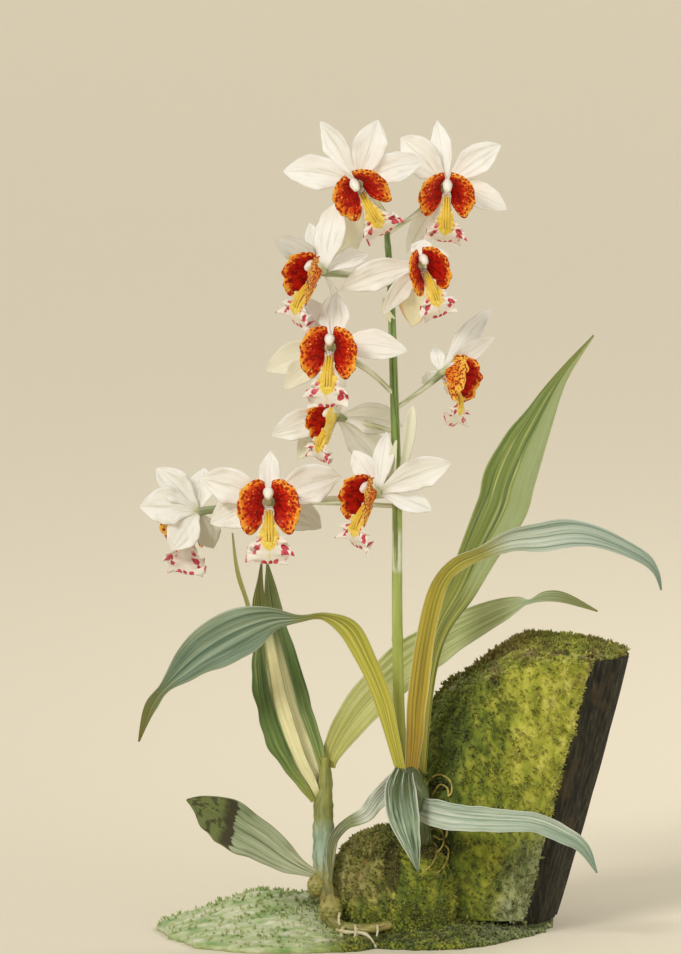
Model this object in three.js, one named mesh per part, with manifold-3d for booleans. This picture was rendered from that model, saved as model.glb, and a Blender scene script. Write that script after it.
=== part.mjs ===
// A potted phaius tuberculosus: two leafy growths and one flower spike, rooted in a moss mound
// at the foot of a leaning, moss-covered stump pot. Millimetres, +Z up, the front is -Y.
import * as THREE from "three";
import { mergeVertices } from "three/addons/utils/BufferGeometryUtils.js";
import Module from "manifold-3d";

const wasm = await Module();
wasm.setup();

// Driving dimensions, in millimetres and radians.
const EYE_LIFT = THREE.MathUtils.degToRad(8); // the front view looks down by this much
const GAP = 0.3; // clearance between two pieces that touch
const LEAF_THICK = 0.9;
const PETAL_THICK = 0.8;
const OVARY_RADIUS = 1.6;
const POT = { foot: 39, rim: 45.5, height: 151, wall: 6 };
const POT_PLACE = { x: 49.5, y: 26, z: 7 };
const POT_LEAN = THREE.MathUtils.degToRad(13); // its axis, to the right
const POT_TIP = THREE.MathUtils.degToRad(2.5); // its rim, down to the right
const SHOULDER = { drop: 23, from: 8, to: 52 }; // how far the rim falls away to the left
const MOSS_DEPTH = 6; // how far the moss stands off the pot
const MOSS_SECTOR = { from: 100, to: 299 }; // degrees round the pot, from +X by way of +Y
const MOSS_FADE = 8; // degrees over which the moss thins out at each end of its sector

const COLOURS = {
  petal: [0xf6f3e8, 0.55],
  lip: [0xc8380f, 0.5],
  tongue: [0xf4e2c8, 0.5],
  stem: [0x7f9a3c, 0.5],
  leaf: [0x5f8050, 0.45],
  yellow_leaf: [0x9a9c34, 0.45],
  pale_leaf: [0x9db596, 0.5],
  sheath: [0x9ab8a4, 0.5],
  rhizome: [0x7d6f3a, 0.7],
  root: [0xd9d3a8, 0.7],
  moss: [0x56701e, 0.95],
  bark: [0x2c2c1e, 0.9],
  soil: [0x3a2c1c, 1.0],
};

// Places are given as the plant is seen from the front: across to the right, up the view,
// and away from the eye. This turns one into X, Y and Z.
function place([across, up, away]) {
  const height = (up - away * Math.sin(EYE_LIFT)) / Math.cos(EYE_LIFT);
  return new THREE.Vector3(across, away, height);
}
const TOWARDS_EYE = new THREE.Vector3(0, -Math.cos(EYE_LIFT), Math.sin(EYE_LIFT));

// The row at share t of a smooth run through rows, column by column.
function along(rows, t) {
  const last = rows.length - 1;
  const at = THREE.MathUtils.clamp(t, 0, 1) * last;
  const i = Math.min(Math.floor(at), last - 1);
  const f = at - i;
  const row = (k) => rows[THREE.MathUtils.clamp(k, 0, last)];
  return row(i).map((b, c) => {
    const [a, d, e] = [row(i - 1)[c], row(i + 1)[c], row(i + 2)[c]];
    return b + 0.5 * f * (d - a + f * (2 * a - 5 * b + 4 * d - e + f * (3 * (b - d) + e - a)));
  });
}

// Place and direction at share t of a run, where() giving the point of a row.
function station(rows, t, where) {
  const reach = 0.004;
  const ahead = where(along(rows, t + reach));
  const behind = where(along(rows, t - reach));
  return { point: where(along(rows, t)), tangent: ahead.sub(behind).normalize() };
}

// A closed solid from an indexed list of points and triangles.
function solidOf(points, triangles) {
  const mesh = new wasm.Mesh({
    numProp: 3,
    vertProperties: new Float32Array(points.flatMap((p) => [p.x, p.y, p.z])),
    triVerts: new Uint32Array(triangles.flat()),
  });
  return new wasm.Manifold(mesh);
}

// A three.js geometry, with its seams merged, as a solid.
function solidOfGeometry(geometry) {
  const bare = geometry.clone();
  bare.deleteAttribute("normal");
  bare.deleteAttribute("uv");
  const merged = mergeVertices(bare, 1e-3);
  const mesh = new wasm.Mesh({
    numProp: 3,
    vertProperties: new Float32Array(merged.attributes.position.array),
    triVerts: new Uint32Array(merged.index.array),
  });
  return new wasm.Manifold(mesh);
}

// The largest body of a solid that a cut may have left in several.
function largest(solid) {
  const bodies = solid.decompose();
  return bodies.reduce((a, b) => (b.volume() > a.volume() ? b : a));
}

// A thin blade along rows that end in [..., half width, roll]. Its section is a trough of flat
// strips. With no roll its upper face looks along face; fold lifts its edges, pleat lifts every
// other line between strips, and wave [height, times, start] ripples its edges. grow makes a
// slightly larger copy, to cut room for it.
function blade(rows, options) {
  const { steps, strips, thick, fold = 0.2, pleat = 0, wave = [0, 0, 0] } = options;
  const { face = TOWARDS_EYE, where = place, grow = 0 } = options;
  const [height, times, start] = wave;
  const upper = [];
  const under = [];
  for (let i = 0; i <= steps; i++) {
    const t = i / steps;
    const { point, tangent } = station(rows, t, where);
    const [width, roll] = along(rows, t).slice(-2);
    const half = Math.max(width, 0.4) + grow;
    const side0 = tangent.clone().cross(face).normalize();
    const normal0 = side0.clone().cross(tangent);
    const turn = THREE.MathUtils.degToRad(roll);
    const side = side0.clone().multiplyScalar(Math.cos(turn)).addScaledVector(normal0, Math.sin(turn));
    const normal = side.clone().cross(tangent);
    for (let j = 0; j <= strips; j++) {
      const s = (2 * j) / strips - 1;
      const ripple = height * Math.sin(2 * Math.PI * times * t + start + 1.9 * Math.sign(s));
      const lift = half * (fold * Math.abs(s) + (j % 2 ? pleat : 0) + ripple * Math.abs(s) ** 3);
      const middle = point.clone().addScaledVector(side, s * half).addScaledVector(normal, lift);
      const stand = thick / 2 + grow;
      upper.push(middle.clone().addScaledVector(normal, stand));
      under.push(middle.clone().addScaledVector(normal, -stand));
    }
  }
  const n = upper.length;
  const at = (i, j) => i * (strips + 1) + j;
  const triangles = [];
  for (let i = 0; i < steps; i++) {
    for (let j = 0; j < strips; j++) {
      const [a, b, c, d] = [at(i, j), at(i, j + 1), at(i + 1, j + 1), at(i + 1, j)];
      triangles.push([a, b, c], [a, c, d], [n + a, n + c, n + b], [n + a, n + d, n + c]);
    }
    const [a, d] = [at(i, 0), at(i + 1, 0)];
    const [b, c] = [at(i, strips), at(i + 1, strips)];
    triangles.push([a, d, n + d], [a, n + d, n + a], [b, n + c, c], [b, n + b, n + c]);
  }
  for (let j = 0; j < strips; j++) {
    const [a, b] = [at(0, j), at(0, j + 1)];
    const [d, c] = [at(steps, j), at(steps, j + 1)];
    triangles.push([a, n + b, b], [a, n + a, n + b], [d, c, n + c], [d, n + c, n + d]);
  }
  return upright(solidOf([...upper, ...under], triangles));
}

// A solid with its faces pointing out.
function upright(solid) {
  if (solid.volume() > 0) return solid;
  const mesh = solid.getMesh();
  const flipped = new Uint32Array(mesh.triVerts);
  for (let i = 0; i < flipped.length; i += 3) {
    [flipped[i + 1], flipped[i + 2]] = [flipped[i + 2], flipped[i + 1]];
  }
  return new wasm.Manifold(
    new wasm.Mesh({ numProp: 3, vertProperties: mesh.vertProperties, triVerts: flipped }),
  );
}

// A round rod along rows that end in a radius.
function rod(rows, { steps, sides, where = place, grow = 0 }) {
  const points = [];
  const triangles = [];
  const across = new THREE.Vector3(0.31, 0.9, 0.3).normalize();
  for (let i = 0; i <= steps; i++) {
    const { point, tangent } = station(rows, i / steps, where);
    const radius = Math.max(along(rows, i / steps).at(-1), 0.3) + grow;
    const u = tangent.clone().cross(across).normalize();
    const v = tangent.clone().cross(u);
    for (let j = 0; j < sides; j++) {
      const a = (2 * Math.PI * j) / sides;
      const rim = point.clone().addScaledVector(u, radius * Math.cos(a));
      points.push(rim.addScaledVector(v, radius * Math.sin(a)));
    }
  }
  for (let i = 0; i < steps; i++) {
    for (let j = 0; j < sides; j++) {
      const [a, b] = [i * sides + j, i * sides + ((j + 1) % sides)];
      triangles.push([a, b, b + sides], [a, b + sides, a + sides]);
    }
  }
  for (let j = 1; j < sides - 1; j++) {
    const end = steps * sides;
    triangles.push([0, j + 1, j], [end, end + j, end + j + 1]);
  }
  return upright(solidOf(points, triangles));
}

// An ellipsoid with its long axis turned from +Z to a direction.
function ellipsoid(centre, [rx, ry, rz], direction, [around, rows]) {
  const geometry = new THREE.SphereGeometry(1, around, rows).rotateX(Math.PI / 2);
  const up = new THREE.Vector3(0, 0, 1);
  const turn = new THREE.Quaternion().setFromUnitVectors(up, direction.clone().normalize());
  const scale = new THREE.Vector3(rx, ry, rz);
  geometry.applyMatrix4(new THREE.Matrix4().compose(centre, turn, scale));
  return solidOfGeometry(geometry);
}

// Soft lumps, from -1 to 1, for moss and bark.
function lumps(x, y, z) {
  const wide = Math.sin(0.21 * x + 1.3 * Math.sin(0.09 * z)) * Math.cos(0.19 * y + 0.07 * z);
  const fine = Math.sin(0.47 * x + 0.31 * z + 2) * Math.sin(0.43 * y - 0.37 * z + 1);
  return 0.6 * wide + 0.4 * fine;
}

// A round body about the +Z axis from rows [radius, z], first and last on the axis. stand()
// gives what to add to the radius at an angle and height; where() puts each point in place.
function drum(rows, { sides, stand = () => 0, where = (p) => p, grow = 0 }) {
  const points = [];
  const triangles = [];
  const rings = rows.slice(1, -1);
  for (const [radius, z] of rings) {
    for (let j = 0; j < sides; j++) {
      const a = (2 * Math.PI * j) / sides;
      const r = radius + stand(a, z) + grow;
      points.push(where(new THREE.Vector3(r * Math.cos(a), r * Math.sin(a), z)));
    }
  }
  const foot = points.length;
  points.push(where(new THREE.Vector3(0, 0, rows[0][1] - grow)));
  points.push(where(new THREE.Vector3(0, 0, rows.at(-1)[1] + grow)));
  for (let j = 0; j < sides; j++) {
    const next = (j + 1) % sides;
    for (let i = 0; i < rings.length - 1; i++) {
      const [a, b] = [i * sides + j, i * sides + next];
      triangles.push([a, b, b + sides], [a, b + sides, a + sides]);
    }
    const top = (rings.length - 1) * sides;
    triangles.push([foot, next, j], [foot + 1, top + j, top + next]);
  }
  return solidOf(points, triangles);
}

// The pieces.
const group = new THREE.Group();
const made = {};

function add(name, solid, colour) {
  made[name] = [solid, colour];
}

// A blade or rod with a larger copy for cutting room in its neighbours.
const withRoom = (make) => [make(0), make(GAP)];

// LEAVES. Rows are [across, up, away, half width, roll in degrees] from root to tip.
const LEAVES = {
  leaf_a1: {
    rows: [
      [-46, 34, -32, 2.5, 0], [-54, 37.5, -34, 4.5, 0], [-63, 43, -36, 8, 8], [-74, 51, -40, 11, 12],
      [-85, 58, -43, 12.5, 15], [-94, 64, -45, 13.5, 15], [-102, 68.5, -46, 10.5, 15],
      [-109, 72.5, -46, 5.5, 10], [-116, 75, -46, 0.5, 10],
    ],
    wave: [0.1, 3, 0.4],
    colour: "pale_leaf",
  },
  leaf_a2_left: {
    rows: [
      [-45, 74, -17, 3, 0], [-49, 82, -17, 5, 0], [-57, 95, -15, 7.5, 10], [-64, 111, -12, 9.5, 15],
      [-69, 127, -9, 9.5, 15], [-72, 146, -6, 8, 15], [-74, 165, -4, 6, 20],
      [-76, 184, -3, 3.5, 25], [-75, 205, -4, 0.5, 30],
    ],
    wave: [0.16, 4, 1],
    colour: "leaf",
  },
  leaf_a2_right: {
    rows: [
      [-40, 78, -12, 3, 0], [-44, 92, -11, 5, 0], [-48, 104, -9, 6.5, -10], [-53, 118, -7, 7.5, -15],
      [-57, 131, -4, 7.5, -15], [-63, 155, 1, 6.5, -15], [-67, 172, 4, 5, -20],
      [-70, 187, 5, 4, -20], [-72, 205, 4, 0.5, -20],
    ],
    wave: [0.09, 3, 2],
    colour: "leaf",
  },
  leaf_a3: {
    rows: [
      [-42, 75, -14, 2, 0], [-55, 92, -5, 2.5, 40], [-67, 118, 2, 2.5, 50], [-75, 150, 5, 2.5, 60],
      [-82, 180, 5, 2.4, 60], [-88, 200, 2, 2, 60], [-91, 221, -2, 0.5, 60],
    ],
    wave: [0.05, 3, 0],
    colour: "yellow_leaf",
  },
  leaf_a4: {
    rows: [
      [-38, 92, -8, 3.5, 0], [-36, 100, -6, 5.5, 5], [-27, 115, 0, 9, 10], [-16, 129, 5, 11, 10],
      [3, 147, 10, 12, 5], [18, 158, 12, 11.5, 0], [32, 167, 12, 10, -5], [53, 177, 10, 7.5, -10],
      [66, 182, 8, 4, 10], [73, 183, 7, 2, 50], [82, 186, 6, 3, 20], [93, 185, 4, 2.8, 0],
      [110, 178, 0, 0.5, 0],
    ],
    wave: [0.09, 4, 0.7],
    colour: "pale_leaf",
  },
  leaf_b1: {
    rows: [
      [2, 89, -31, 3, 20], [-3, 110, -36, 4, 20], [-8, 130, -38, 5, 15], [-17, 151, -40, 5.5, 10],
      [-27, 169, -41, 6.5, 25], [-40, 176, -41, 3.2, 55], [-54, 175, -40, 3.4, 50],
      [-70, 174, -40, 9, 30], [-87, 168, -42, 13.5, 15], [-103, 159, -44, 13, 10],
      [-116, 149, -46, 9.5, 15], [-128, 137, -48, 3.5, 30], [-136, 126, -49, 3.5, 20],
      [-142, 107, -50, 0.5, 0],
    ],
    wave: [0.14, 4, 0.2],
    colour: "leaf",
  },
  leaf_b2: {
    rows: [
      [7, 89, -31, 3.5, -15], [9, 110, -36, 5, -15], [10, 129, -38, 5.5, -15], [14, 160, -40, 5.5, -20],
      [21, 190, -39, 5.5, -25], [31, 204, -38, 5, -35], [46, 211, -37, 4.5, -40],
      [61, 217, -36, 6.5, -20], [78, 219, -36, 8, 0], [97, 221, -37, 8, 15], [114, 217, -38, 5.5, 20],
      [133, 208, -38, 3.6, 20], [141, 200, -37, 2, 20], [144, 190, -36, 0.5, 20],
    ],
    wave: [0.14, 4, 1.3],
    colour: "leaf",
  },
  leaf_b3: {
    rows: [
      [12, 89, -25, 3.5, 0], [14, 120, -19, 4, 0], [18, 151, -16, 4.5, 0], [24, 171, -13, 6, 0],
      [35, 190, -9, 8.5, 5], [45, 211, -4, 11, 10], [57, 234, 2, 14.5, 12],
      [62, 250, 6, 14.5, 14], [69, 267, 11, 12.5, 14], [77, 283, 15, 9, 12],
      [85, 298, 19, 5.5, 10], [93, 311, 22, 3, 0], [108, 330, 27, 0.5, 0],
    ],
    wave: [0.08, 3.5, 2.2],
    colour: "leaf",
  },
  leaf_b4: {
    rows: [
      [11, 70, -31, 6, 0], [22, 67, -47, 7.5, 5], [37, 65, -56, 7.2, 5], [53, 64, -60, 6.5, 5],
      [73, 63, -61, 5.5, 0], [89, 57, -59, 5, 0], [101, 49, -56, 3.5, 0], [109, 35, -52, 0.5, 0],
    ],
    wave: [0.14, 4, 0.3],
    colour: "pale_leaf",
  },
  leaf_b5: {
    rows: [
      [3, 91, -32, 5, 0], [1, 80, -45, 8.5, 0], [3, 66, -53, 8.8, 5], [6, 54, -56, 6, 10],
      [9, 44, -57, 3, 10], [11, 36, -57, 0.5, 10],
    ],
    wave: [0.1, 2, 1],
    colour: "pale_leaf",
  },
  leaf_b6: {
    rows: [
      [0, 88, -30, 4, 20], [-11, 76, -40, 5.2, 20], [-18, 67, -46, 4.6, 10], [-28, 62, -50, 3, 0],
      [-35, 54, -52, 2.8, 0], [-37, 44, -53, 2.4, 0], [-37, 30, -53, 0.5, 0],
    ],
    wave: [0.16, 3, 0.8],
    colour: "sheath",
  },
};
const LEAF_FORM = { steps: 13, strips: 2, thick: LEAF_THICK, fold: 0.22, pleat: 0.05 };

function leaf(name, grow) {
  const { rows, wave } = LEAVES[name];
  return blade(rows, { ...LEAF_FORM, wave, grow });
}

// STEMS. Rows are [across, up, away, radius].
const SCAPE = [
  [4, 91, -25, 3.2], [1, 115, -24, 3.2], [0, 150, -21, 3], [-0.5, 184, -18, 2.9],
  [-0.5, 239, -13, 2.7], [-2, 294, -8, 2.4], [-4, 355, -2, 2], [-6, 384, 1, 1.6], [-6, 396, 2, 1],
];
const GROWTH_A = [
  [-38, 17, -34, 4], [-41, 30, -30, 5.2], [-41.5, 38, -28, 5.5], [-42, 48, -24, 5], [-41, 60, -20, 5.8],
  [-41, 72, -16, 5.2], [-40, 84, -13, 4], [-40, 97, -11, 2.4],
];
const RHIZOME = [
  [-38, 20, -32, 3], [-36, 8, -40, 3.4], [-26, 4, -43, 2.8], [-14, 4, -44, 2.6], [-4, 6, -42, 2.2],
];
const GROWTH_B = [
  [12, 40, -14, 4], [12, 50, -17, 6], [10, 62, -23, 8], [8, 74, -28, 9.5], [6, 84, -28, 8.5],
  [5, 93, -28, 5.5],
];

function growthA(grow) {
  const stem = rod(GROWTH_A, { steps: 7, sides: 6, grow });
  const runner = rod(RHIZOME, { steps: 5, sides: 5, grow });
  const bulbs = [
    [place([-45, 27, -33]), [5 + grow, 5 + grow, 6.5 + grow]],
    [place([-37, 14, -37]), [6.5 + grow, 6.5 + grow, 8.5 + grow]],
  ];
  const up = new THREE.Vector3(0, 0, 1);
  return bulbs.reduce((all, [c, r]) => all.add(ellipsoid(c, r, up, [8, 5])), stem.add(runner));
}
const growthB = (grow) => rod(GROWTH_B, { steps: 6, sides: 8, grow });

// Bracts hug the scape at its joints.
const BRACTS = [
  [[-3, 250, -16, 2.4, 20], [-3, 261, -19, 2.6, 20], [-1, 272, -20, 0.5, 10]],
  [[1, 251, -15, 1.5, -20], [5, 270, -15, 3.2, -30], [7, 284, -13, 3, -20], [8, 291, -11, 0.5, 0]],
  [[-3, 338, -5, 1.8, 0], [-7, 343, -7, 2.2, 0], [-8, 350, -8, 0.5, 0]],
];
function scape(grow) {
  const stem = rod(SCAPE, { steps: 12, sides: 7, grow });
  const form = { steps: 3, strips: 2, thick: 0.8, grow };
  return BRACTS.reduce((all, rows) => all.add(blade(rows, form)), stem);
}

// FLOWERS. heart is [across, up, away]. lip is [roll, yaw, pitch, size, spread]: roll swings the
// tongue to the right, yaw looks right and pitch looks up, in degrees, and a spread below 1
// folds the side lobes towards each other. Tepals are [angle round from the right, length, half
// width, lean away, roll]. joins is where the stalk meets the scape, bow a point on its way.
const FLOWERS = [
  {
    heart: [-22.5, 412.5, -16],
    lip: [33, 6, -26, 0.9, 1],
    tepals: [
      [120.5, 39.5, 7, 12, 30], [71.5, 36.5, 9, 5, -10], [170.5, 41, 9, 6, 0],
      [18.5, 38.5, 8, 12, 0], [257, 46, 9.5, 35, 0],
    ],
    bow: [-13, 404, -3],
    joins: [-6, 395, 2],
  },
  {
    heart: [26.5, 412.5, 12],
    lip: [-2, 2, -28, 0.9, 1],
    tepals: [
      [98, 35.5, 5.6, 8, 0], [36, 37, 8, 5, 0], [-22, 36, 7, 8, 10],
      [134, 36, 10.5, 14, 25], [240, 43, 6, 8, 10],
    ],
    bow: [12, 398, 12],
    joins: [-5, 386, 2],
  },
  {
    heart: [-41, 364, -20],
    lip: [-24, -46, -5, 0.92, 0.62],
    tepals: [
      [79, 39, 8.5, 10, 20], [106, 28, 5, 24, 0], [146, 32, 7, 10, -20],
      [22, 27, 5.5, 26, 20], [-66, 28, 4, 48, 60],
    ],
    bow: [-22, 362, 4],
    joins: [-4, 357, -1],
  },
  {
    heart: [12.5, 368, -19],
    lip: [18, 14, -8, 0.86, 0.78],
    tepals: [
      [84, 14, 6.5, 20, 0], [197, 46, 8, 8, 10], [232, 34, 5.5, 2, 20],
      [262, 34, 8.5, 14, 0], [20, 16, 5, 30, 0],
    ],
    bow: [8, 368, -4],
    joins: [-4, 352, -2],
  },
  {
    heart: [-37, 323, -24],
    lip: [-3, -4, -4, 0.96, 0.95],
    tepals: [
      [-3, 42, 8, 6, 10], [222, 34, 7, 10, 0], [124, 33, 8, 14, 0],
      [84, 30, 8, 16, 0], [200, 38, 8, 22, 0],
    ],
    bow: [-16, 310, -12],
    joins: [-2, 297, -8],
  },
  {
    heart: [24, 309, 0],
    lip: [-6, 62, -4, 0.86, 0.6],
    tepals: [
      [52.5, 44.5, 5.6, 14, 20], [34, 35, 5.2, 2, -15], [105, 15, 3.8, 40, 0],
      [207, 12, 3.6, 30, 0], [300, 14, 4, 40, 30],
    ],
    bow: [16, 302, 4],
    joins: [-2, 289, -8],
  },
  {
    heart: [-33, 285, 6],
    lip: [-20, -46, -8, 0.74, 0.62],
    tepals: [
      [196, 38, 8, 8, 10], [-8, 36, 8.5, 2, -10], [-48, 42, 9, 12, 0],
      [226, 32, 7, 20, 0], [100, 26, 7, 20, 0],
    ],
    bow: [-20, 282, 8],
    joins: [-1.5, 277, -9],
  },
  {
    heart: [-71, 238, -26],
    lip: [1, 0, 0, 1, 1],
    tepals: [
      [88, 28, 5.8, 14, 0], [161, 40, 9.5, 6, 10], [200, 34, 9, 14, 0],
      [20, 42, 10.5, 14, -10], [-26, 32, 8.5, 16, 0],
    ],
    bow: [-34, 240, -2],
    joins: [-1, 242, -12],
  },
  {
    heart: [-11, 243, -22],
    lip: [-18, -44, -6, 0.9, 0.62],
    tepals: [
      [22, 43.5, 9, -4, -20], [-18, 31, 7, 4, 20], [82, 34, 5.5, 6, 0],
      [120, 27, 6.5, 14, 0], [150, 16, 5, 40, 0],
    ],
    bow: [-6, 251, -14],
    joins: [-1, 256, -11],
  },
  {
    heart: [-110, 233, 2],
    lip: [8, -155, -10, 1, 0.8],
    tepals: [
      [134, 33, 8, -6, 0], [176, 32, 10, -12, 0], [236, 26, 9, -14, 0],
      [82, 24, 7, 16, 0], [292, 22, 7, 18, 0],
    ],
    bow: [-60, 238, 20],
    joins: [-0.5, 236, -13],
  },
];

// Lip lobes: [angle round from the front of the lip, reach from the axis, forward at the rim].
const LOBE = [
  [-169, 12, 9], [-150, 14.3, 13], [-123, 16, 15], [-98, 16.8, 15.5], [-72, 18, 14.5],
  [-50, 19.8, 12.5], [-29, 20, 10], [-13, 8, 6], [13, 8, 6], [29, 20, 10], [50, 19.8, 12.5],
  [72, 18, 14.5], [98, 16.8, 15.5], [123, 16, 15], [150, 14.3, 13], [169, 12, 9],
];
const THROAT = { radius: 3.6, from: 2 };

// The lip's front lobe, then its ridges and the column. Rows are
// [right, up, forward, half width, roll], the last two ending in a radius.
const TONGUE = [
  [0, -2.2, 3.4, 2.4, 0], [0, -8.5, 10, 3.2, 0], [0, -14, 14, 4.4, 0], [0, -19, 16, 7.6, 0],
  [0, -24, 16.5, 11.2, 0], [0, -29, 14.5, 12.6, 0], [0, -33.5, 11, 9.5, 0],
];
const RIDGE = [[0, -4.5, 7, 1], [0, -9, 11.6, 1.5], [0, -15, 15.6, 1.6], [0, -21, 17.2, 1]];
const COLUMN = [[0, 0, 0, 2.4], [0, 3.4, 4, 2.1], [0, 5.6, 8, 2.4], [0, 5.4, 12, 3], [0, 3, 15, 2]];

// The frame of a flower: its heart, and a function from lip places to the plant's.
function flowerFrame({ heart, lip: [roll, yaw, pitch, size] }) {
  const turn = new THREE.Matrix4().makeRotationY(THREE.MathUtils.degToRad(yaw));
  turn.multiply(new THREE.Matrix4().makeRotationX(THREE.MathUtils.degToRad(-pitch)));
  turn.multiply(new THREE.Matrix4().makeRotationZ(THREE.MathUtils.degToRad(roll)));
  const view = new THREE.Matrix4().makeBasis(
    new THREE.Vector3(1, 0, 0),
    new THREE.Vector3(0, Math.sin(EYE_LIFT), Math.cos(EYE_LIFT)),
    TOWARDS_EYE,
  );
  const centre = place(heart);
  const frame = view.multiply(turn).scale(new THREE.Vector3(size, size, size));
  const where = (row) => new THREE.Vector3(row[0], row[1], row[2]).applyMatrix4(frame).add(centre);
  return { centre, where, size };
}

// Rows of one tepal as seen from the front.
function tepalRows([across, up, away], [angle, length, half, lean, roll]) {
  const a = THREE.MathUtils.degToRad(angle);
  const back = Math.tan(THREE.MathUtils.degToRad(lean));
  const shape = [[0, 0.17], [0.2, 0.5], [0.42, 0.98], [0.64, 1.02], [0.85, 0.6], [1, 0.04]];
  const arch = 0.06 * length * Math.abs(Math.cos(a));
  return shape.map(([s, wide]) => {
    const reach = length * s;
    const depth = away + reach * back + 0.1 * length * s * s;
    const rise = reach * Math.sin(a) + arch * Math.sin(Math.PI * s);
    return [across + reach * Math.cos(a), up + rise, depth, half * wide, roll];
  });
}

function petals(flower, grow) {
  const { centre, where, size } = flowerFrame(flower);
  const form = { steps: 4, strips: 2, thick: PETAL_THICK, fold: 0.2, grow };
  const hub = 3.4 * size + grow;
  let solid = ellipsoid(centre, [hub, hub, hub], TOWARDS_EYE, [6, 3]);
  for (const tepal of flower.tepals) {
    solid = solid.add(blade(tepalRows(flower.heart, tepal), form));
  }
  const column = COLUMN.map(([x, y, z, r]) => [x, y, z, r * size]);
  solid = solid.add(rod(column, { steps: 4, sides: 5, where, grow }));
  const stalk = [flower.heart, flower.bow, flower.joins];
  const radii = [2.4, OVARY_RADIUS, 1.2];
  const rows = stalk.map((row, i) => [...row, radii[i]]);
  return solid.add(rod(rows, { steps: 4, sides: 4, grow }));
}

// The side lobes: a wide funnel, open at the top and drawn in under the tongue.
function sideLobes(flower, grow) {
  const { where, size } = flowerFrame(flower);
  const spread = flower.lip[4];
  const ahead = 0.75 * Math.sqrt(1 - spread * spread);
  const folded = ([x, y, z]) => where([x * spread, y, z + Math.abs(x) * ahead]);
  const across = 2;
  const half = (0.4 * PETAL_THICK + grow) / size;
  const front = [];
  const back = [];
  for (const [angle, reach, forward] of LOBE) {
    const a = THREE.MathUtils.degToRad(angle);
    const [x, y] = [Math.sin(a), -Math.cos(a)];
    for (let j = 0; j <= across; j++) {
      const r = j / across;
      const out = THROAT.radius - grow + (reach - THROAT.radius + 2 * grow) * r;
      const z = THROAT.from + (forward - THROAT.from) * Math.pow(r, 0.75);
      const slope = (forward - THROAT.from) / (reach - THROAT.radius);
      const lie = Math.hypot(1, slope);
      const [inward, forth] = [(-slope / lie) * half, half / lie];
      front.push(folded([x * (out + inward), y * (out + inward), z + forth]));
      back.push(folded([x * (out - inward), y * (out - inward), z - forth]));
    }
  }
  return sheetSolid(front, back, LOBE.length - 1, across);
}

// A closed sheet between two like grids of rows and columns.
function sheetSolid(front, back, rows, columns) {
  const n = front.length;
  const at = (i, j) => i * (columns + 1) + j;
  const triangles = [];
  const wall = (a, b) => triangles.push([a, n + a, n + b], [a, n + b, b]);
  for (let i = 0; i < rows; i++) {
    for (let j = 0; j < columns; j++) {
      const [a, b, c, d] = [at(i, j), at(i, j + 1), at(i + 1, j + 1), at(i + 1, j)];
      triangles.push([a, b, c], [a, c, d], [n + a, n + c, n + b], [n + a, n + d, n + c]);
    }
    wall(at(i + 1, 0), at(i, 0));
    wall(at(i, columns), at(i + 1, columns));
  }
  for (let j = 0; j < columns; j++) {
    wall(at(0, j), at(0, j + 1));
    wall(at(rows, j + 1), at(rows, j));
  }
  return upright(solidOf([...front, ...back], triangles));
}

function tongue(flower, grow) {
  const { where, size } = flowerFrame(flower);
  const rows = TONGUE.map(([x, y, z, half, roll]) => [x, y, z, half * size, roll]);
  const face = where([0, 0.35, 1]).sub(where([0, 0, 0])).normalize();
  const form = { steps: 5, strips: 2, thick: PETAL_THICK, fold: -0.12, pleat: 0.12, face, where, grow };
  const ridge = RIDGE.map(([x, y, z, r]) => [x, y, z, r * size]);
  return blade(rows, form).add(rod(ridge, { steps: 3, sides: 4, where, grow }));
}

// POT, SOIL AND MOSS, built upright and then leaned together.
const LEAN = new THREE.Matrix4()
  .makeBasis(
    new THREE.Vector3(Math.cos(POT_TIP), 0, -Math.sin(POT_TIP)),
    new THREE.Vector3(0, 1, 0),
    new THREE.Vector3(Math.sin(POT_LEAN), 0, Math.cos(POT_LEAN)),
  )
  .setPosition(POT_PLACE.x, POT_PLACE.y, POT_PLACE.z);
function leaned(p) {
  const fall = THREE.MathUtils.smoothstep(-p.x, SHOULDER.from, SHOULDER.to);
  p.z -= SHOULDER.drop * fall * Math.min(1, p.z / POT.height) ** 3;
  return p.applyMatrix4(LEAN);
}
const potRadius = (z) => POT.foot + ((POT.rim - POT.foot) * z) / POT.height;
const RIBS = 7;
const ribs = (a, z) => 0.8 * Math.sin(RIBS * a + 0.03 * z);

function potSolid(grow) {
  const [h, w] = [POT.height + grow, POT.rim + grow];
  const rows = [[0, -grow], [POT.foot + grow, -grow], [potRadius(h / 2) + grow, h / 2], [w, h], [0, h]];
  return drum(rows, { sides: 28, stand: ribs, where: leaned });
}
// The room inside the pot, and above its rim where it is used to cut the pot open.
function potFill(grow, above = 0) {
  const [h, w] = [POT.height + grow, POT.wall - grow];
  const foot = POT.wall - grow;
  const lid = above ? [[POT.rim - w, h + above]] : [];
  const rows = [[0, foot], [POT.foot - w, foot], [POT.rim - w, h], ...lid, [0, h + above]];
  return drum(rows, { sides: 22, where: leaned });
}

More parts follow.
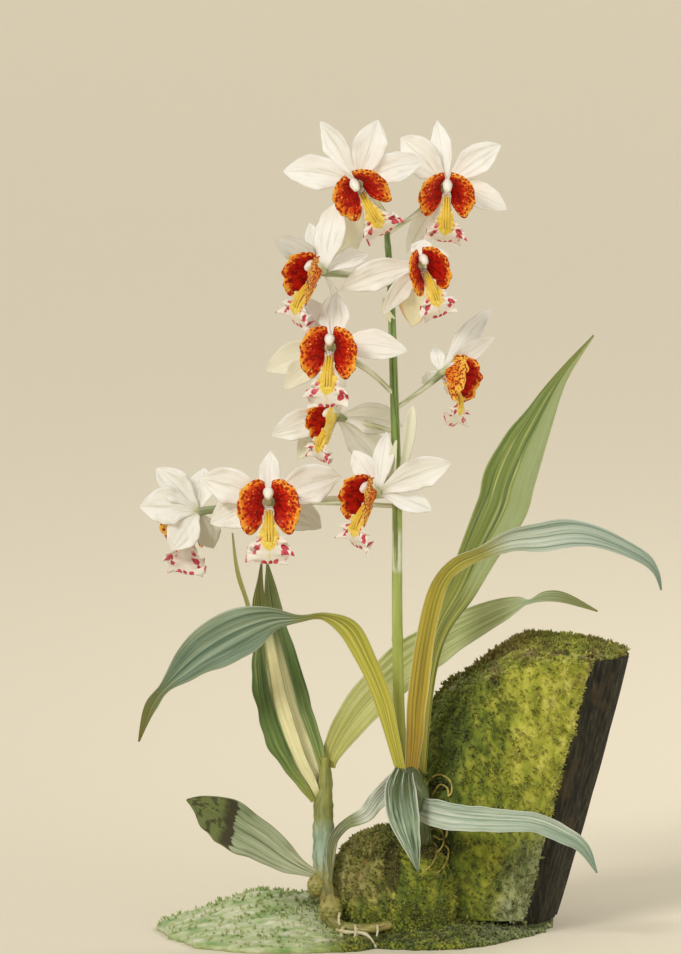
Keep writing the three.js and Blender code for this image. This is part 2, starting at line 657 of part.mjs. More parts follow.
// How much moss stands at an angle round the pot: all of it on the left and front, none on the
// right, where the wall is bare.
function mossCover(angle) {
  const degrees = (THREE.MathUtils.radToDeg(angle) + 360) % 360;
  const { from, to } = MOSS_SECTOR;
  const enter = THREE.MathUtils.smoothstep(degrees, from - MOSS_FADE, from + MOSS_FADE);
  return enter * (1 - THREE.MathUtils.smoothstep(degrees, to - MOSS_FADE, to + MOSS_FADE));
}
function mossStand(angle, z) {
  const cover = mossCover(angle);
  const left = Math.pow(Math.max(0, -Math.cos(angle)), 1.4);
  const swell = THREE.MathUtils.smoothstep(POT.height - z, -6, 46);
  const rough = 1.6 * lumps(60 * Math.cos(angle), 60 * Math.sin(angle), z);
  return cover * (MOSS_DEPTH + 14 * left * swell + rough) - 2.5 * (1 - cover);
}
function mossBody(grow) {
  const heights = [4, 28, 52, 76, 98, 118, 132, 143, 151];
  const rows = heights.map((z) => [potRadius(z), z]);
  const top = POT.height + 3.5;
  const crown = [[POT.rim - 4, top - 0.5], [24, top + 1.5], [0, top + 2]];
  return drum([[0, 4], ...rows, ...crown], { sides: 26, stand: mossStand, where: leaned, grow });
}

// The moss bank: a low patch with a flat base, and the round lobe that holds the growths.
const BANK = { x: -10, y: 6, rim: 3.5, height: 15 };
const BANK_REACH = [98, 100, 84, 66, 76, 108, 128, 120, 84, 64, 72, 84]; // every 30 degrees
const HUMMOCK = { x: -66, y: 14, height: 9 };
const LOBE_ROWS = [
  [0, -4], [34, -4], [38, 8], [38, 22], [35, 36], [29, 47], [20, 55], [10, 59], [0, 60.5],
];
function bank(grow) {
  const rings = [0.25, 0.5, 0.75, 0.92, 1];
  const sides = 22;
  const points = [];
  const triangles = [];
  const put = (x, y, z) => points.push(new THREE.Vector3(BANK.x + x, BANK.y + y, z)) - 1;
  const summit = put(0, 0, BANK.height + grow);
  const foot = put(0, 0, -5);
  for (const r of rings) {
    for (let j = 0; j < sides; j++) {
      const a = (2 * Math.PI * j) / sides;
      const at = (12 * j) / sides;
      const [low, high] = [Math.floor(at), (Math.floor(at) + 1) % 12];
      const reach = THREE.MathUtils.lerp(BANK_REACH[low], BANK_REACH[high], at - low);
      const out = (reach + 3 * Math.sin(5 * a) + grow) * r;
      const [x, y] = [out * Math.cos(a), out * Math.sin(a)];
      const swell = BANK.rim + (BANK.height - BANK.rim) * (1 - r * r);
      const hummock = HUMMOCK.height * Math.exp(-((x - HUMMOCK.x) ** 2 + (y - HUMMOCK.y) ** 2) / 900);
      put(x, y, swell + hummock + 1.6 * lumps(x, y, 0) * (1 - r * r) + grow);
    }
  }
  const base = points.length;
  for (let j = 0; j < sides; j++) {
    const { x, y } = points[base - sides + j];
    put(x - BANK.x, y - BANK.y, -5);
  }
  for (let j = 0; j < sides; j++) {
    const next = (j + 1) % sides;
    triangles.push([summit, 2 + j, 2 + next], [foot, base + next, base + j]);
    for (let i = 0; i < rings.length; i++) {
      const [a, b] = [2 + i * sides + j, 2 + i * sides + next];
      triangles.push([a, a + sides, b + sides], [a, b + sides, b]);
    }
  }
  const where = (p) => p.add(new THREE.Vector3(-2, -5, 0));
  const stand = (a, z) => 1.5 * lumps(40 * Math.cos(a), 40 * Math.sin(a), z);
  const lobe = drum(LOBE_ROWS, { sides: 22, stand, where, grow });
  const under = new THREE.BoxGeometry(600, 600, 200).translate(0, 0, 100);
  return solidOf(points, triangles).add(lobe).intersect(solidOfGeometry(under));
}

// White roots run down from the rhizome, in grooves of the moss.
const ROOTS = [
  [[-30, 5, -46, 1.2], [-31, 0, -47, 1.1], [-28, -6, -49, 0.8]],
  [[-22, 4, -47, 1.2], [-23, -1, -49, 1.1], [-20, -5.6, -51, 0.7]],
  [[-34, 3, -45, 1.2], [-28, 2, -48, 1.2], [-18, 1, -49, 1.1], [-12, -6, -50, 0.7]],
];
function roots(grow) {
  return ROOTS.map((rows) => rod(rows, { steps: 3, sides: 4, grow })).reduce((a, b) => a.add(b));
}

// Putting the pieces together, each cut clear of what it stands on.
function clear(solid, ...others) {
  return largest(others.reduce((left, other) => left.subtract(other), solid));
}

const [stemA, stemARoom] = withRoom(growthA);
const [stemB, stemBRoom] = withRoom(growthB);
const [scapeAll, scapeRoom] = withRoom(scape);
const [rootAll, rootRoom] = withRoom(roots);
const bankRoom = bank(GAP);
add("growth_a", stemA, "rhizome");
add("growth_b", stemB, "sheath");
add("scape", clear(scapeAll, stemBRoom), "stem");
add("roots", clear(rootAll, stemARoom), "root");

const cavity = potFill(0, SHOULDER.drop);
const potWall = potSolid(0).subtract(cavity);
add("pot", potWall, "bark");
add("soil", potFill(-GAP), "soil");
const potRoom = potSolid(GAP);
add("moss_bank", clear(bank(0), potRoom, stemARoom, stemBRoom, rootRoom), "moss");
add("pot_moss", clear(mossBody(0), potRoom, potFill(0), bankRoom, stemARoom, stemBRoom), "moss");

const standing = [mossBody(GAP), bankRoom, stemARoom, stemBRoom, scapeRoom];
for (const [name, { colour }] of Object.entries(LEAVES)) {
  const [whole, room] = withRoom((grow) => leaf(name, grow));
  add(name, clear(whole, ...standing), colour);
  standing.push(room);
}

FLOWERS.forEach((flower, i) => {
  const name = `flower_${String(i + 1).padStart(2, "0")}`;
  const [white, whiteRoom] = withRoom((grow) => petals(flower, grow));
  const [lobes, lobesRoom] = withRoom((grow) => sideLobes(flower, grow));
  add(`${name}_petals`, clear(white, scapeRoom), "petal");
  add(`${name}_lip`, clear(lobes, whiteRoom), "lip");
  add(`${name}_tongue`, clear(tongue(flower, 0), whiteRoom, lobesRoom), "tongue");
});

// Origin at the middle of the base: the pieces are moved together by half their reach.
const shapes = Object.entries(made).map(([name, [solid, colour]]) => {
  const mesh = solid.getMesh();
  const geometry = new THREE.BufferGeometry();
  geometry.setAttribute("position", new THREE.BufferAttribute(new Float32Array(mesh.vertProperties), 3));
  geometry.setIndex(new THREE.BufferAttribute(new Uint32Array(mesh.triVerts), 1));
  return { name, geometry, colour };
});
const extent = new THREE.Box3();
for (const { geometry } of shapes) {
  geometry.computeBoundingBox();
  extent.union(geometry.boundingBox);
}
const middle = extent.getCenter(new THREE.Vector3());
for (const { name, geometry, colour } of shapes) {
  geometry.translate(-middle.x, -middle.y, -extent.min.z);
  geometry.computeVertexNormals();
  const [tint, roughness] = COLOURS[colour];
  const material = new THREE.MeshStandardMaterial({ color: tint, roughness, name: colour });
  const mesh = new THREE.Mesh(geometry, material);
  mesh.name = name;
  group.add(mesh);
}

export default group;
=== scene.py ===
"""Dresses the potted phaius tuberculosus: finer leaves, flowers, moss and bark over the CAD frame."""
import math

import bpy
import numpy as np
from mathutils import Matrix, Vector


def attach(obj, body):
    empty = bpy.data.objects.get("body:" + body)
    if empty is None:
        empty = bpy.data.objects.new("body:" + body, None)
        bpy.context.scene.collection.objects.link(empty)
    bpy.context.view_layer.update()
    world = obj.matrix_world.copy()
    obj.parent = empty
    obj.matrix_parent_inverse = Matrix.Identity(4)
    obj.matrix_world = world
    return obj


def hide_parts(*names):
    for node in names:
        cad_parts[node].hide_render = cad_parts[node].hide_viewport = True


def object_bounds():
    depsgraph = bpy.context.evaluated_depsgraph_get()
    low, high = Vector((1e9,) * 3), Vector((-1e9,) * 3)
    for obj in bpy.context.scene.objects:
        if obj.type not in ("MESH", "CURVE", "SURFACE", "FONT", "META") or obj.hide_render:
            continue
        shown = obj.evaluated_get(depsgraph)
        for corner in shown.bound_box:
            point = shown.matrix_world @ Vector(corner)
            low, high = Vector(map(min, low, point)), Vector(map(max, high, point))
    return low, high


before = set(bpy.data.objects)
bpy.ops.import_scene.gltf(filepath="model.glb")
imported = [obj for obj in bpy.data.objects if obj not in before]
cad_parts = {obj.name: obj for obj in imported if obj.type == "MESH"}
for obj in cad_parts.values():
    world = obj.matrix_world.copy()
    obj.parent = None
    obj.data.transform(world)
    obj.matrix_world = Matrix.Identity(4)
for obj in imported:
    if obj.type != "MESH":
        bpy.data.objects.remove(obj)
CAD_BOX = [list(corner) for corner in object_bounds()]
RNG = np.random.default_rng(7)

MM = 0.001
EYE_LIFT = math.radians(8)
PLAN_CENTRE = np.array([1.08, 4.5, 0.0])  # the plan's origin, seen from the part's, in mm
TOWARDS_EYE = np.array([0, -math.cos(EYE_LIFT), math.sin(EYE_LIFT)])

# The same driving data as the solids. Leaves: [across, up, away, half width, roll].
LEAVES = {
    "leaf_a1": [
        [-46, 34, -32, 2.5, 0], [-54, 37.5, -34, 4.5, 0], [-63, 43, -36, 8, 8], [-74, 51, -40, 11, 12],
        [-85, 58, -43, 12.5, 15], [-94, 64, -45, 13.5, 15], [-102, 68.5, -46, 10.5, 15],
        [-109, 72.5, -46, 5.5, 10], [-116, 75, -46, 0.5, 10],
    ],
    "leaf_a2_left": [
        [-45, 74, -17, 3, 0], [-49, 82, -17, 5, 0], [-57, 95, -15, 7.5, 10], [-64, 111, -12, 9.5, 15],
        [-69, 127, -9, 9.5, 15], [-72, 146, -6, 8, 15], [-74, 165, -4, 6, 20],
        [-76, 184, -3, 3.5, 25], [-75, 205, -4, 0.5, 30],
    ],
    "leaf_a2_right": [
        [-40, 78, -12, 3, 0], [-44, 92, -11, 5, 0], [-48, 104, -9, 6.5, -10], [-53, 118, -7, 7.5, -15],
        [-57, 131, -4, 7.5, -15], [-63, 155, 1, 6.5, -15], [-67, 172, 4, 5, -20],
        [-70, 187, 5, 4, -20], [-72, 205, 4, 0.5, -20],
    ],
    "leaf_a3": [
        [-42, 75, -14, 2, 0], [-55, 92, -5, 2.5, 40], [-67, 118, 2, 2.5, 50], [-75, 150, 5, 2.5, 60],
        [-82, 180, 5, 2.4, 60], [-88, 200, 2, 2, 60], [-91, 221, -2, 0.5, 60],
    ],
    "leaf_a4": [
        [-38, 92, -8, 3.5, 0], [-36, 100, -6, 5.5, 5], [-27, 115, 0, 9, 10], [-16, 129, 5, 11, 10],
        [3, 147, 10, 12, 5], [18, 158, 12, 11.5, 0], [32, 167, 12, 10, -5], [53, 177, 10, 7.5, -10],
        [66, 182, 8, 4, 10], [73, 183, 7, 2, 50], [82, 186, 6, 3, 20], [93, 185, 4, 2.8, 0],
        [110, 178, 0, 0.5, 0],
    ],
    "leaf_b1": [
        [2, 89, -31, 3, 20], [-3, 110, -36, 4, 20], [-8, 130, -38, 5, 15], [-17, 151, -40, 5.5, 10],
        [-27, 169, -41, 6.5, 25], [-40, 176, -41, 3.2, 55], [-54, 175, -40, 3.4, 50],
        [-70, 174, -40, 9, 30], [-87, 168, -42, 13.5, 15], [-103, 159, -44, 13, 10],
        [-116, 149, -46, 9.5, 15], [-128, 137, -48, 3.5, 30], [-136, 126, -49, 3.5, 20],
        [-142, 107, -50, 0.5, 0],
    ],
    "leaf_b2": [
        [7, 89, -31, 3.5, -15], [9, 110, -36, 5, -15], [10, 129, -38, 5.5, -15], [14, 160, -40, 5.5, -20],
        [21, 190, -39, 5.5, -25], [31, 204, -38, 5, -35], [46, 211, -37, 4.5, -40],
        [61, 217, -36, 6.5, -20], [78, 219, -36, 8, 0], [97, 221, -37, 8, 15], [114, 217, -38, 5.5, 20],
        [133, 208, -38, 3.6, 20], [141, 200, -37, 2, 20], [144, 190, -36, 0.5, 20],
    ],
    "leaf_b3": [
        [12, 89, -25, 3.5, 0], [14, 120, -19, 4, 0], [18, 151, -16, 4.5, 0], [24, 171, -13, 6, 0],
        [35, 190, -9, 8.5, 5], [45, 211, -4, 11, 10], [57, 234, 2, 14.5, 12],
        [62, 250, 6, 14.5, 14], [69, 267, 11, 12.5, 14], [77, 283, 15, 9, 12],
        [85, 298, 19, 5.5, 10], [93, 311, 22, 3, 0], [108, 330, 27, 0.5, 0],
    ],
    "leaf_b4": [
        [11, 70, -31, 6, 0], [22, 67, -47, 7.5, 5], [37, 65, -56, 7.2, 5], [53, 64, -60, 6.5, 5],
        [73, 63, -61, 5.5, 0], [89, 57, -59, 5, 0], [101, 49, -56, 3.5, 0], [109, 35, -52, 0.5, 0],
    ],
    "leaf_b5": [
        [3, 91, -32, 5, 0], [1, 80, -45, 8.5, 0], [3, 66, -53, 8.8, 5], [6, 54, -56, 6, 10],
        [9, 44, -57, 3, 10], [11, 36, -57, 0.5, 10],
    ],
    "leaf_b6": [
        [0, 88, -30, 4, 20], [-11, 76, -40, 5.2, 20], [-18, 67, -46, 4.6, 10], [-28, 62, -50, 3, 0],
        [-35, 54, -52, 2.8, 0], [-37, 44, -53, 2.4, 0], [-37, 30, -53, 0.5, 0],
    ],
}
# Ripples of the leaf edges: [height, times, start].
WAVES = {
    "leaf_a1": [0.1, 3, 0.4],
    "leaf_a2_left": [0.16, 4, 1],
    "leaf_a2_right": [0.09, 3, 2],
    "leaf_a3": [0.05, 3, 0],
    "leaf_a4": [0.09, 4, 0.7],
    "leaf_b1": [0.14, 4, 0.2],
    "leaf_b2": [0.14, 4, 1.3],
    "leaf_b3": [0.08, 3.5, 2.2],
    "leaf_b4": [0.14, 4, 0.3],
    "leaf_b5": [0.1, 2, 1],
    "leaf_b6": [0.16, 3, 0.8],
}

# Stems as [across, up, away, radius], and small leaves of the flower stem, which have a leaf's rows.
SCAPE = [
    [4, 91, -25, 3.2], [1, 115, -24, 3.2], [0, 150, -21, 3], [-0.5, 184, -18, 2.9],
    [-0.5, 239, -13, 2.7], [-2, 294, -8, 2.4], [-4, 355, -2, 2], [-6, 384, 1, 1.6], [-6, 396, 2, 1],
]
GROWTH_A = [
    [-38, 17, -34, 4], [-41, 30, -30, 5.2], [-41.5, 38, -28, 5.5], [-42, 48, -24, 5], [-41, 60, -20, 5.8],
    [-41, 72, -16, 5.2], [-40, 84, -13, 4], [-40, 97, -11, 2.4],
]
RHIZOME = [
    [-38, 20, -32, 3], [-36, 8, -40, 3.4], [-26, 4, -43, 2.8], [-14, 4, -44, 2.6], [-4, 6, -42, 2.2],
]
GROWTH_B = [
    [12, 40, -14, 4], [12, 50, -17, 6], [10, 62, -23, 8], [8, 74, -28, 9.5], [6, 84, -28, 8.5],
    [5, 93, -28, 5.5],
]
BRACTS = [
    [[-3, 250, -16, 2.4, 20], [-3, 261, -19, 2.6, 20], [-1, 272, -20, 0.5, 10]],
    [[1, 251, -15, 1.5, -20], [5, 270, -15, 3.2, -30], [7, 284, -13, 3, -20], [8, 291, -11, 0.5, 0]],
    [[-3, 338, -5, 1.8, 0], [-7, 343, -7, 2.2, 0], [-8, 350, -8, 0.5, 0]],
]

# Flowers: the heart, the bow of the stalk and where it joins the stem, the lip as
# [roll, yaw, pitch, size, spread], and the petals as [angle, length, half width, lean, roll].
FLOWERS = [
    ([-22.5, 412.5, -16], [-13, 404, -3], [-6, 395, 2], [33, 6, -26, 0.9, 1],
     [[120.5, 39.5, 7, 12, 30], [71.5, 36.5, 9, 5, -10], [170.5, 41, 9, 6, 0],
      [18.5, 38.5, 8, 12, 0], [257, 46, 9.5, 35, 0]]),
    ([26.5, 412.5, 12], [12, 398, 12], [-5, 386, 2], [-2, 2, -28, 0.9, 1],
     [[98, 35.5, 5.6, 8, 0], [36, 37, 8, 5, 0], [-22, 36, 7, 8, 10],
      [134, 36, 10.5, 14, 25], [240, 43, 6, 8, 10]]),
    ([-41, 364, -20], [-22, 362, 4], [-4, 357, -1], [-24, -46, -5, 0.92, 0.62],
     [[79, 39, 8.5, 10, 20], [106, 28, 5, 24, 0], [146, 32, 7, 10, -20],
      [22, 27, 5.5, 26, 20], [-66, 28, 4, 48, 60]]),
    ([12.5, 368, -19], [8, 368, -4], [-4, 352, -2], [18, 14, -8, 0.86, 0.78],
     [[84, 14, 6.5, 20, 0], [197, 46, 8, 8, 10], [232, 34, 5.5, 2, 20],
      [262, 34, 8.5, 14, 0], [20, 16, 5, 30, 0]]),
    ([-37, 323, -24], [-16, 310, -12], [-2, 297, -8], [-3, -4, -4, 0.96, 0.95],
     [[-3, 42, 8, 6, 10], [222, 34, 7, 10, 0], [124, 33, 8, 14, 0],
      [84, 30, 8, 16, 0], [200, 38, 8, 22, 0]]),
    ([24, 309, 0], [16, 302, 4], [-2, 289, -8], [-6, 62, -4, 0.86, 0.6],
     [[52.5, 44.5, 5.6, 14, 20], [34, 35, 5.2, 2, -15], [105, 15, 3.8, 40, 0],
      [207, 12, 3.6, 30, 0], [300, 14, 4, 40, 30]]),
    ([-33, 285, 6], [-20, 282, 8], [-1.5, 277, -9], [-20, -46, -8, 0.74, 0.62],
     [[196, 38, 8, 8, 10], [-8, 36, 8.5, 2, -10], [-48, 42, 9, 12, 0],
      [226, 32, 7, 20, 0], [100, 26, 7, 20, 0]]),
    ([-71, 238, -26], [-34, 240, -2], [-1, 242, -12], [1, 0, 0, 1, 1],
     [[88, 28, 5.8, 14, 0], [161, 40, 9.5, 6, 10], [200, 34, 9, 14, 0],
      [20, 42, 10.5, 14, -10], [-26, 32, 8.5, 16, 0]]),
    ([-11, 243, -22], [-6, 251, -14], [-1, 256, -11], [-18, -44, -6, 0.9, 0.62],
     [[22, 43.5, 9, -4, -20], [-18, 31, 7, 4, 20], [82, 34, 5.5, 6, 0],
      [120, 27, 6.5, 14, 0], [150, 16, 5, 40, 0]]),
    ([-110, 233, 2], [-60, 238, 20], [-0.5, 236, -13], [8, -155, -10, 1, 0.8],
     [[134, 33, 8, -6, 0], [176, 32, 10, -12, 0], [236, 26, 9, -14, 0],
      [82, 24, 7, 16, 0], [292, 22, 7, 18, 0]]),
]

# The lip: its side lobes as [angle, reach, forward], one half of them mirrored for the other, its
# front lobe, which has rows like a leaf's, and its ridges and the column, which end in a radius.
HALF_LOBE = [
    [13, 8, 6], [29, 20, 10], [50, 19.8, 12.5], [72, 18, 14.5], [98, 16.8, 15.5], [123, 16, 15],
    [150, 14.3, 13], [169, 12, 9],
]
LOBE = [[-angle, reach, forward] for angle, reach, forward in HALF_LOBE[::-1]] + HALF_LOBE
TONGUE = [
    [0, -2.2, 3.4, 2.4, 0], [0, -8.5, 10, 3.2, 0], [0, -14, 14, 4.4, 0], [0, -19, 16, 7.6, 0],
    [0, -24, 16.5, 11.2, 0], [0, -29, 14.5, 12.6, 0], [0, -33.5, 11, 9.5, 0],
]
RIDGE = [[0, -4.5, 7, 1], [0, -9, 11.6, 1.5], [0, -15, 15.6, 1.6], [0, -21, 17.2, 1]]
COLUMN = [[0, 0, 0, 2.4], [0, 3.4, 4, 2.1], [0, 5.6, 8, 2.4], [0, 5.4, 12, 3], [0, 3, 15, 2]]
ROOTS = [
    [[-30, 5, -46, 1.2], [-31, 0, -47, 1.1], [-28, -6, -49, 0.8]],
    [[-22, 4, -47, 1.2], [-23, -1, -49, 1.1], [-20, -5.6, -51, 0.7]],
    [[-34, 3, -45, 1.2], [-28, 2, -48, 1.2], [-18, 1, -49, 1.1], [-12, -6, -50, 0.7]],
]
FINE_ROOTS = [
    [[-32, 12.6, -45, 0.8], [-32.6, 9.5, -47, 0.7], [-32.2, 6, -48.5, 0.4]],
    [[-23.6, 6, -46.5, 0.9], [-23.2, 2.5, -49.5, 0.8], [-24, -0.6, -51, 0.4]],
    [[-11.5, 6, -46.5, 0.8], [-11.2, 3, -49, 0.7], [-11.8, 0, -50.5, 0.4]],
]
# Thin yellow roots that loop over the moss. Each is a run of (across, up) as the front sees it.
MOSS_ROOTS = [
    [(15, 80), (18, 85.5), (23, 87.5), (28, 85), (30, 79), (27, 76)],
    [(20, 78), (23, 82), (27, 81), (29, 76.5)],
    [(12, 60), (15, 63), (20, 63.5), (26, 61), (28, 55), (24, 52), (19, 55)],
    [(14, 54), (18, 57.5), (23, 57), (25, 51), (22, 46), (17, 47)],
    [(15, 49), (19, 51), (21.5, 47), (20, 41), (16, 36)],
    [(26, 50), (28.5, 45), (26, 38), (22, 34)],
]
MOSS_ROOT_RADIUS = 0.55

# The bank: how far it reaches every 30 degrees, and the outline of its round lobe.
BANK_REACH = [98, 100, 84, 66, 76, 108, 128, 120, 84, 64, 72, 84]
BANK_X, BANK_Y, BANK_RIM, BANK_TOP = -10, 6, 3.5, 15
HUMMOCK = {"x": -66, "y": 14, "height": 9}
LOBE_ROWS = [[34, -4], [38, 8], [38, 22], [35, 36], [29, 47], [20, 55], [10, 59], [0, 60.5]]
LOBE_PLACE = [-2, -5, 0]

POT = {"foot": 39, "rim": 45.5, "height": 151, "wall": 6}
POT_PLACE = np.array([49.5, 26.0, 7.0])
POT_LEAN = math.radians(13)
POT_TIP = math.radians(2.5)
SHOULDER = {"drop": 23, "from": 8, "to": 52}
MOSS_DEPTH = 6
MOSS_FROM, MOSS_TO, MOSS_FADE = 100, 299, 8  # degrees round the pot
LEAFLETS, TUFT_WIDTH = 5, 0.45  # how many leaflets a moss shoot has, and how wide they are in mm

# How finely things are drawn.
SIDES = 260
ANGLES = np.linspace(0, 2 * np.pi, SIDES, endpoint=False)[None, :]
LOBE_TURNS, LOBE_STRIPS = 120, 20
CROOK = 0.03  # how round a blade's fold is

LEAF_SLOTS = {
    "leaf_a1": "pale_leaf", "leaf_a3": "yellow_leaf", "leaf_a4": "pale_leaf", "leaf_b4": "pale_leaf",
    "leaf_b5": "pale_leaf", "leaf_b6": "sheath",
}
# Half widths of a petal from its foot to its tip, as shares.
TEPAL_WIDTHS = [[0, 0.17], [0.2, 0.5], [0.42, 0.98], [0.64, 1.02], [0.85, 0.6], [1, 0.04]]
# Petals that aren't plain white: (flower, petal) and its place in PETALS; place 1, petal_shaded, is the
# petal in painted shade.
PETAL_TINTS = {(1, 4): 2, (3, 2): 1, (4, 3): 3, (5, 1): 2, (5, 4): 2, (7, 3): 2, (8, 4): 1, (10, 4): 1}
YELLOW_LOBE = 7  # the flower whose nearer side lobe shows a plain yellow back
LIP_THROAT = 3.6  # the radius at which the side lobes of the lip begin
JOINTS = (0.1, 0.3, 0.5, 0.68, 0.84)  # shares of the flower stem
BULBS = (([-45, 27, -33], 5, 6.5), ([-37, 14, -37], 6.5, 8.5))  # place, half width and half height

# The picture: its middle (across, up and away) and height in mm, the lens and its film.
FRAME_MIDDLE = [-31.6, 251.9, 0]
FRAME_TALL = 524.7
LENS = 450.0
SENSOR = 36.0
FLOOR_FLAT, FLOOR_CURVE = 7.0, 9.0  # the studio floor's flat radius and its rim's, in m

LEVELS = {
    "shine": "Specular IOR Level", "sheen": "Sheen Weight", "glow": "Subsurface Weight",
    "glow_radius": "Subsurface Radius", "glow_scale": "Subsurface Scale",
}

# What leaf_material takes. Colours run by shares of the way from root to tip.
LEAF_LOOK = {
    "leaf_a1": dict(
        ramp={0: "c4c8a4", 0.3: "b4bf9e", 0.6: "94a580", 1: "8a9a72"}, dark="4c5c36", light="dfe3c6",
        under="39401f", veins=9, patch=("6c7840", "37321a", 0.56, 0.16), edge="8a8c5a"),
    "leaf_a2_left": dict(
        ramp={0: "b3b456", 0.25: "6f8640", 0.6: "4c6630", 0.85: "6a7036", 1: "6f6a35"}, dark="26391a",
        light="a3b066", under="66783f", band=(1, "f3ecb8", 0.02, 0.82, 0.5, 1), edge="7f8a3a"),
    "leaf_a2_right": dict(
        ramp={0: "b9ba64", 0.25: "829650", 0.6: "5f7a3e", 0.85: "8d9860", 1: "6c7a45"}, dark="2f4a24",
        light="bcc68a", under="66783f", band=(-1, "efe8b6", 0, 0.74, 0.45, 1), edge="4c6230"),
    "leaf_a3": dict(
        ramp={0: "7f8a3e", 0.5: "9aa04a", 1: "b0ae5c"}, dark="5c6a2a", light="ced08a", under="8c9444",
        veins=5),
    "leaf_a4": dict(
        ramp={0: "bdb74a", 0.25: "cbcc78", 0.5: "c3cb8e", 0.7: "b5c29a", 0.82: "9fad80", 1: "7f7f3a"},
        dark="84964c", light="eff0cc", under="9aa864", veins=11),
    "leaf_b1": dict(
        ramp={0: "cdc64e", 0.3: "bab644", 0.42: "a2a34e", 0.5: "8d9f82", 0.8: "7a937c",
              0.88: "7b8450", 1: "7c7428"},
        dark={0: "74761f", 0.42: "6c7028", 0.5: "3c5a44", 0.85: "3c5a44", 1: "4a4a18"},
        light={0: "e2d970", 0.42: "d8d274", 0.5: "c2d0bc", 1: "aeb07a"}, under="8a9350", edge="c6cdb6",
        streaks=0.7, veins=9),
    "leaf_b2": dict(
        ramp={0: "a88a2c", 0.12: "b49a30", 0.3: "bfb03c", 0.46: "a9a650", 0.54: "c4cfbb",
              0.8: "afbfac", 1: "78917c"},
        dark={0: "7a5c1c", 0.3: "7c7a28", 0.46: "6a7430", 0.54: "5f7862", 1: "4a6654"},
        light={0: "e3c65c", 0.4: "dcd676", 0.54: "e6ece0", 1: "bccab8"}, under="98a058", edge="dde3d4",
        streaks=0.75, veins=9),
    "leaf_b3": dict(
        ramp={0: "b3a436", 0.25: "979a3e", 0.5: "7a8c3c", 0.8: "6f863a", 1: "93984e"}, dark="3f5220",
        light="c2c676", under="7a873e", band=(1, "a5b27c", 0.3, 1.2, 0.54, 0.72), edge="b9bd80",
        streaks=0.9, veins=9),
    "leaf_b4": dict(
        ramp={0: "cdd6c4", 0.4: "bac9b4", 0.8: "a0b4a0", 1: "70907c"}, dark="6c8a72", light="f2f5ec",
        under="94a890", edge="e8ece0", veins=5, streaks=0.7),
    "leaf_b5": dict(
        ramp={0: "46502a", 0.24: "5c6c42", 0.46: "8fa586", 0.8: "869c7c", 1: "647a5e"}, dark="34492f",
        light="e4ecdc", under="78917a", edge="f3f5e6", edge_from=0.42, veins=7, streaks=0.85),
    "leaf_b6": dict(
        ramp={0: "e8ecdc", 0.35: "dfe6d4", 0.45: "8a945a", 0.6: "5f642a", 1: "7a763a"}, dark="5b6f50",
        light="f6f7ea", under="a4b093", edge="f3f4e6", veins=7),
}


# Small helpers.
def srgb(code):
    """A colour code as linear red, green, blue and alpha."""
    parts = [int(code[i:i + 2], 16) / 255 for i in (0, 2, 4)]
    return tuple(c / 12.92 if c <= 0.04045 else ((c + 0.055) / 1.055) ** 2.4 for c in parts) + (1.0,)


def smoothstep(x, low, high):
    t = np.clip((x - low) / (high - low), 0, 1)
    return t * t * (3 - 2 * t)


def unit(v):
    return v / np.maximum(np.linalg.norm(v, axis=-1, keepdims=True), 1e-9)


def place(p):
    """Across, up the view and away from the eye, as X, Y and Z."""
    p = np.asarray(p, float)
    up = (p[..., 1] - p[..., 2] * math.sin(EYE_LIFT)) / math.cos(EYE_LIFT)
    return np.stack([p[..., 0], p[..., 2], up], -1)


def along(rows, t):
    """Rows at shares t of a smooth run through them, as in the solids."""
    rows = np.asarray(rows, float)
    last = len(rows) - 1
    at = np.clip(t, 0, 1) * last
    i = np.minimum(np.floor(at).astype(int), last - 1)
    f = (at - i)[:, None]
    a, b, d, e = (rows[np.clip(i + k, 0, last)] for k in (-1, 0, 1, 2))
    return b + 0.5 * f * (d - a + f * (2 * a - 5 * b + 4 * d - e + f * (3 * (b - d) + e - a)))


def stations(rows, t, where):
    """Points and directions along a run."""
    ahead = where(along(rows, t + 0.004)[:, :3])
    behind = where(along(rows, t - 0.004)[:, :3])
    return where(along(rows, t)[:, :3]), unit(ahead - behind)


def noise(p, scale, seed=0.0):
    """Soft lumps from -1 to 1 at points p in mm."""
    x, y, z = (p[..., k] * scale + seed * (1.7, 2.3, 3.1)[k] for k in range(3))
    a = np.sin(x + 1.3 * np.sin(0.7 * z + seed)) * np.cos(y + 0.9 * np.sin(0.8 * x))
    b = np.sin(2.1 * y + 1.7 * z) * np.cos(1.9 * x - 1.3 * z + 2)
    c = np.sin(4.3 * z + 2.2 * x) * np.sin(4.1 * y - 1.1 * x + seed)
    return 0.5 * a + 0.3 * b + 0.2 * c


def pairs(t, s):
    """A grid of UVs from its rows' and its columns' values."""
    return np.stack(np.broadcast_arrays(t[:, None], s[None, :]), -1)


def in_scene(name, data):
    made = bpy.data.objects.new(name, data)
    bpy.context.scene.collection.objects.link(made)
    return made


def aim(thing, direction):
    thing.rotation_euler = Vector(direction).to_track_quat("-Z", "Y").to_euler()


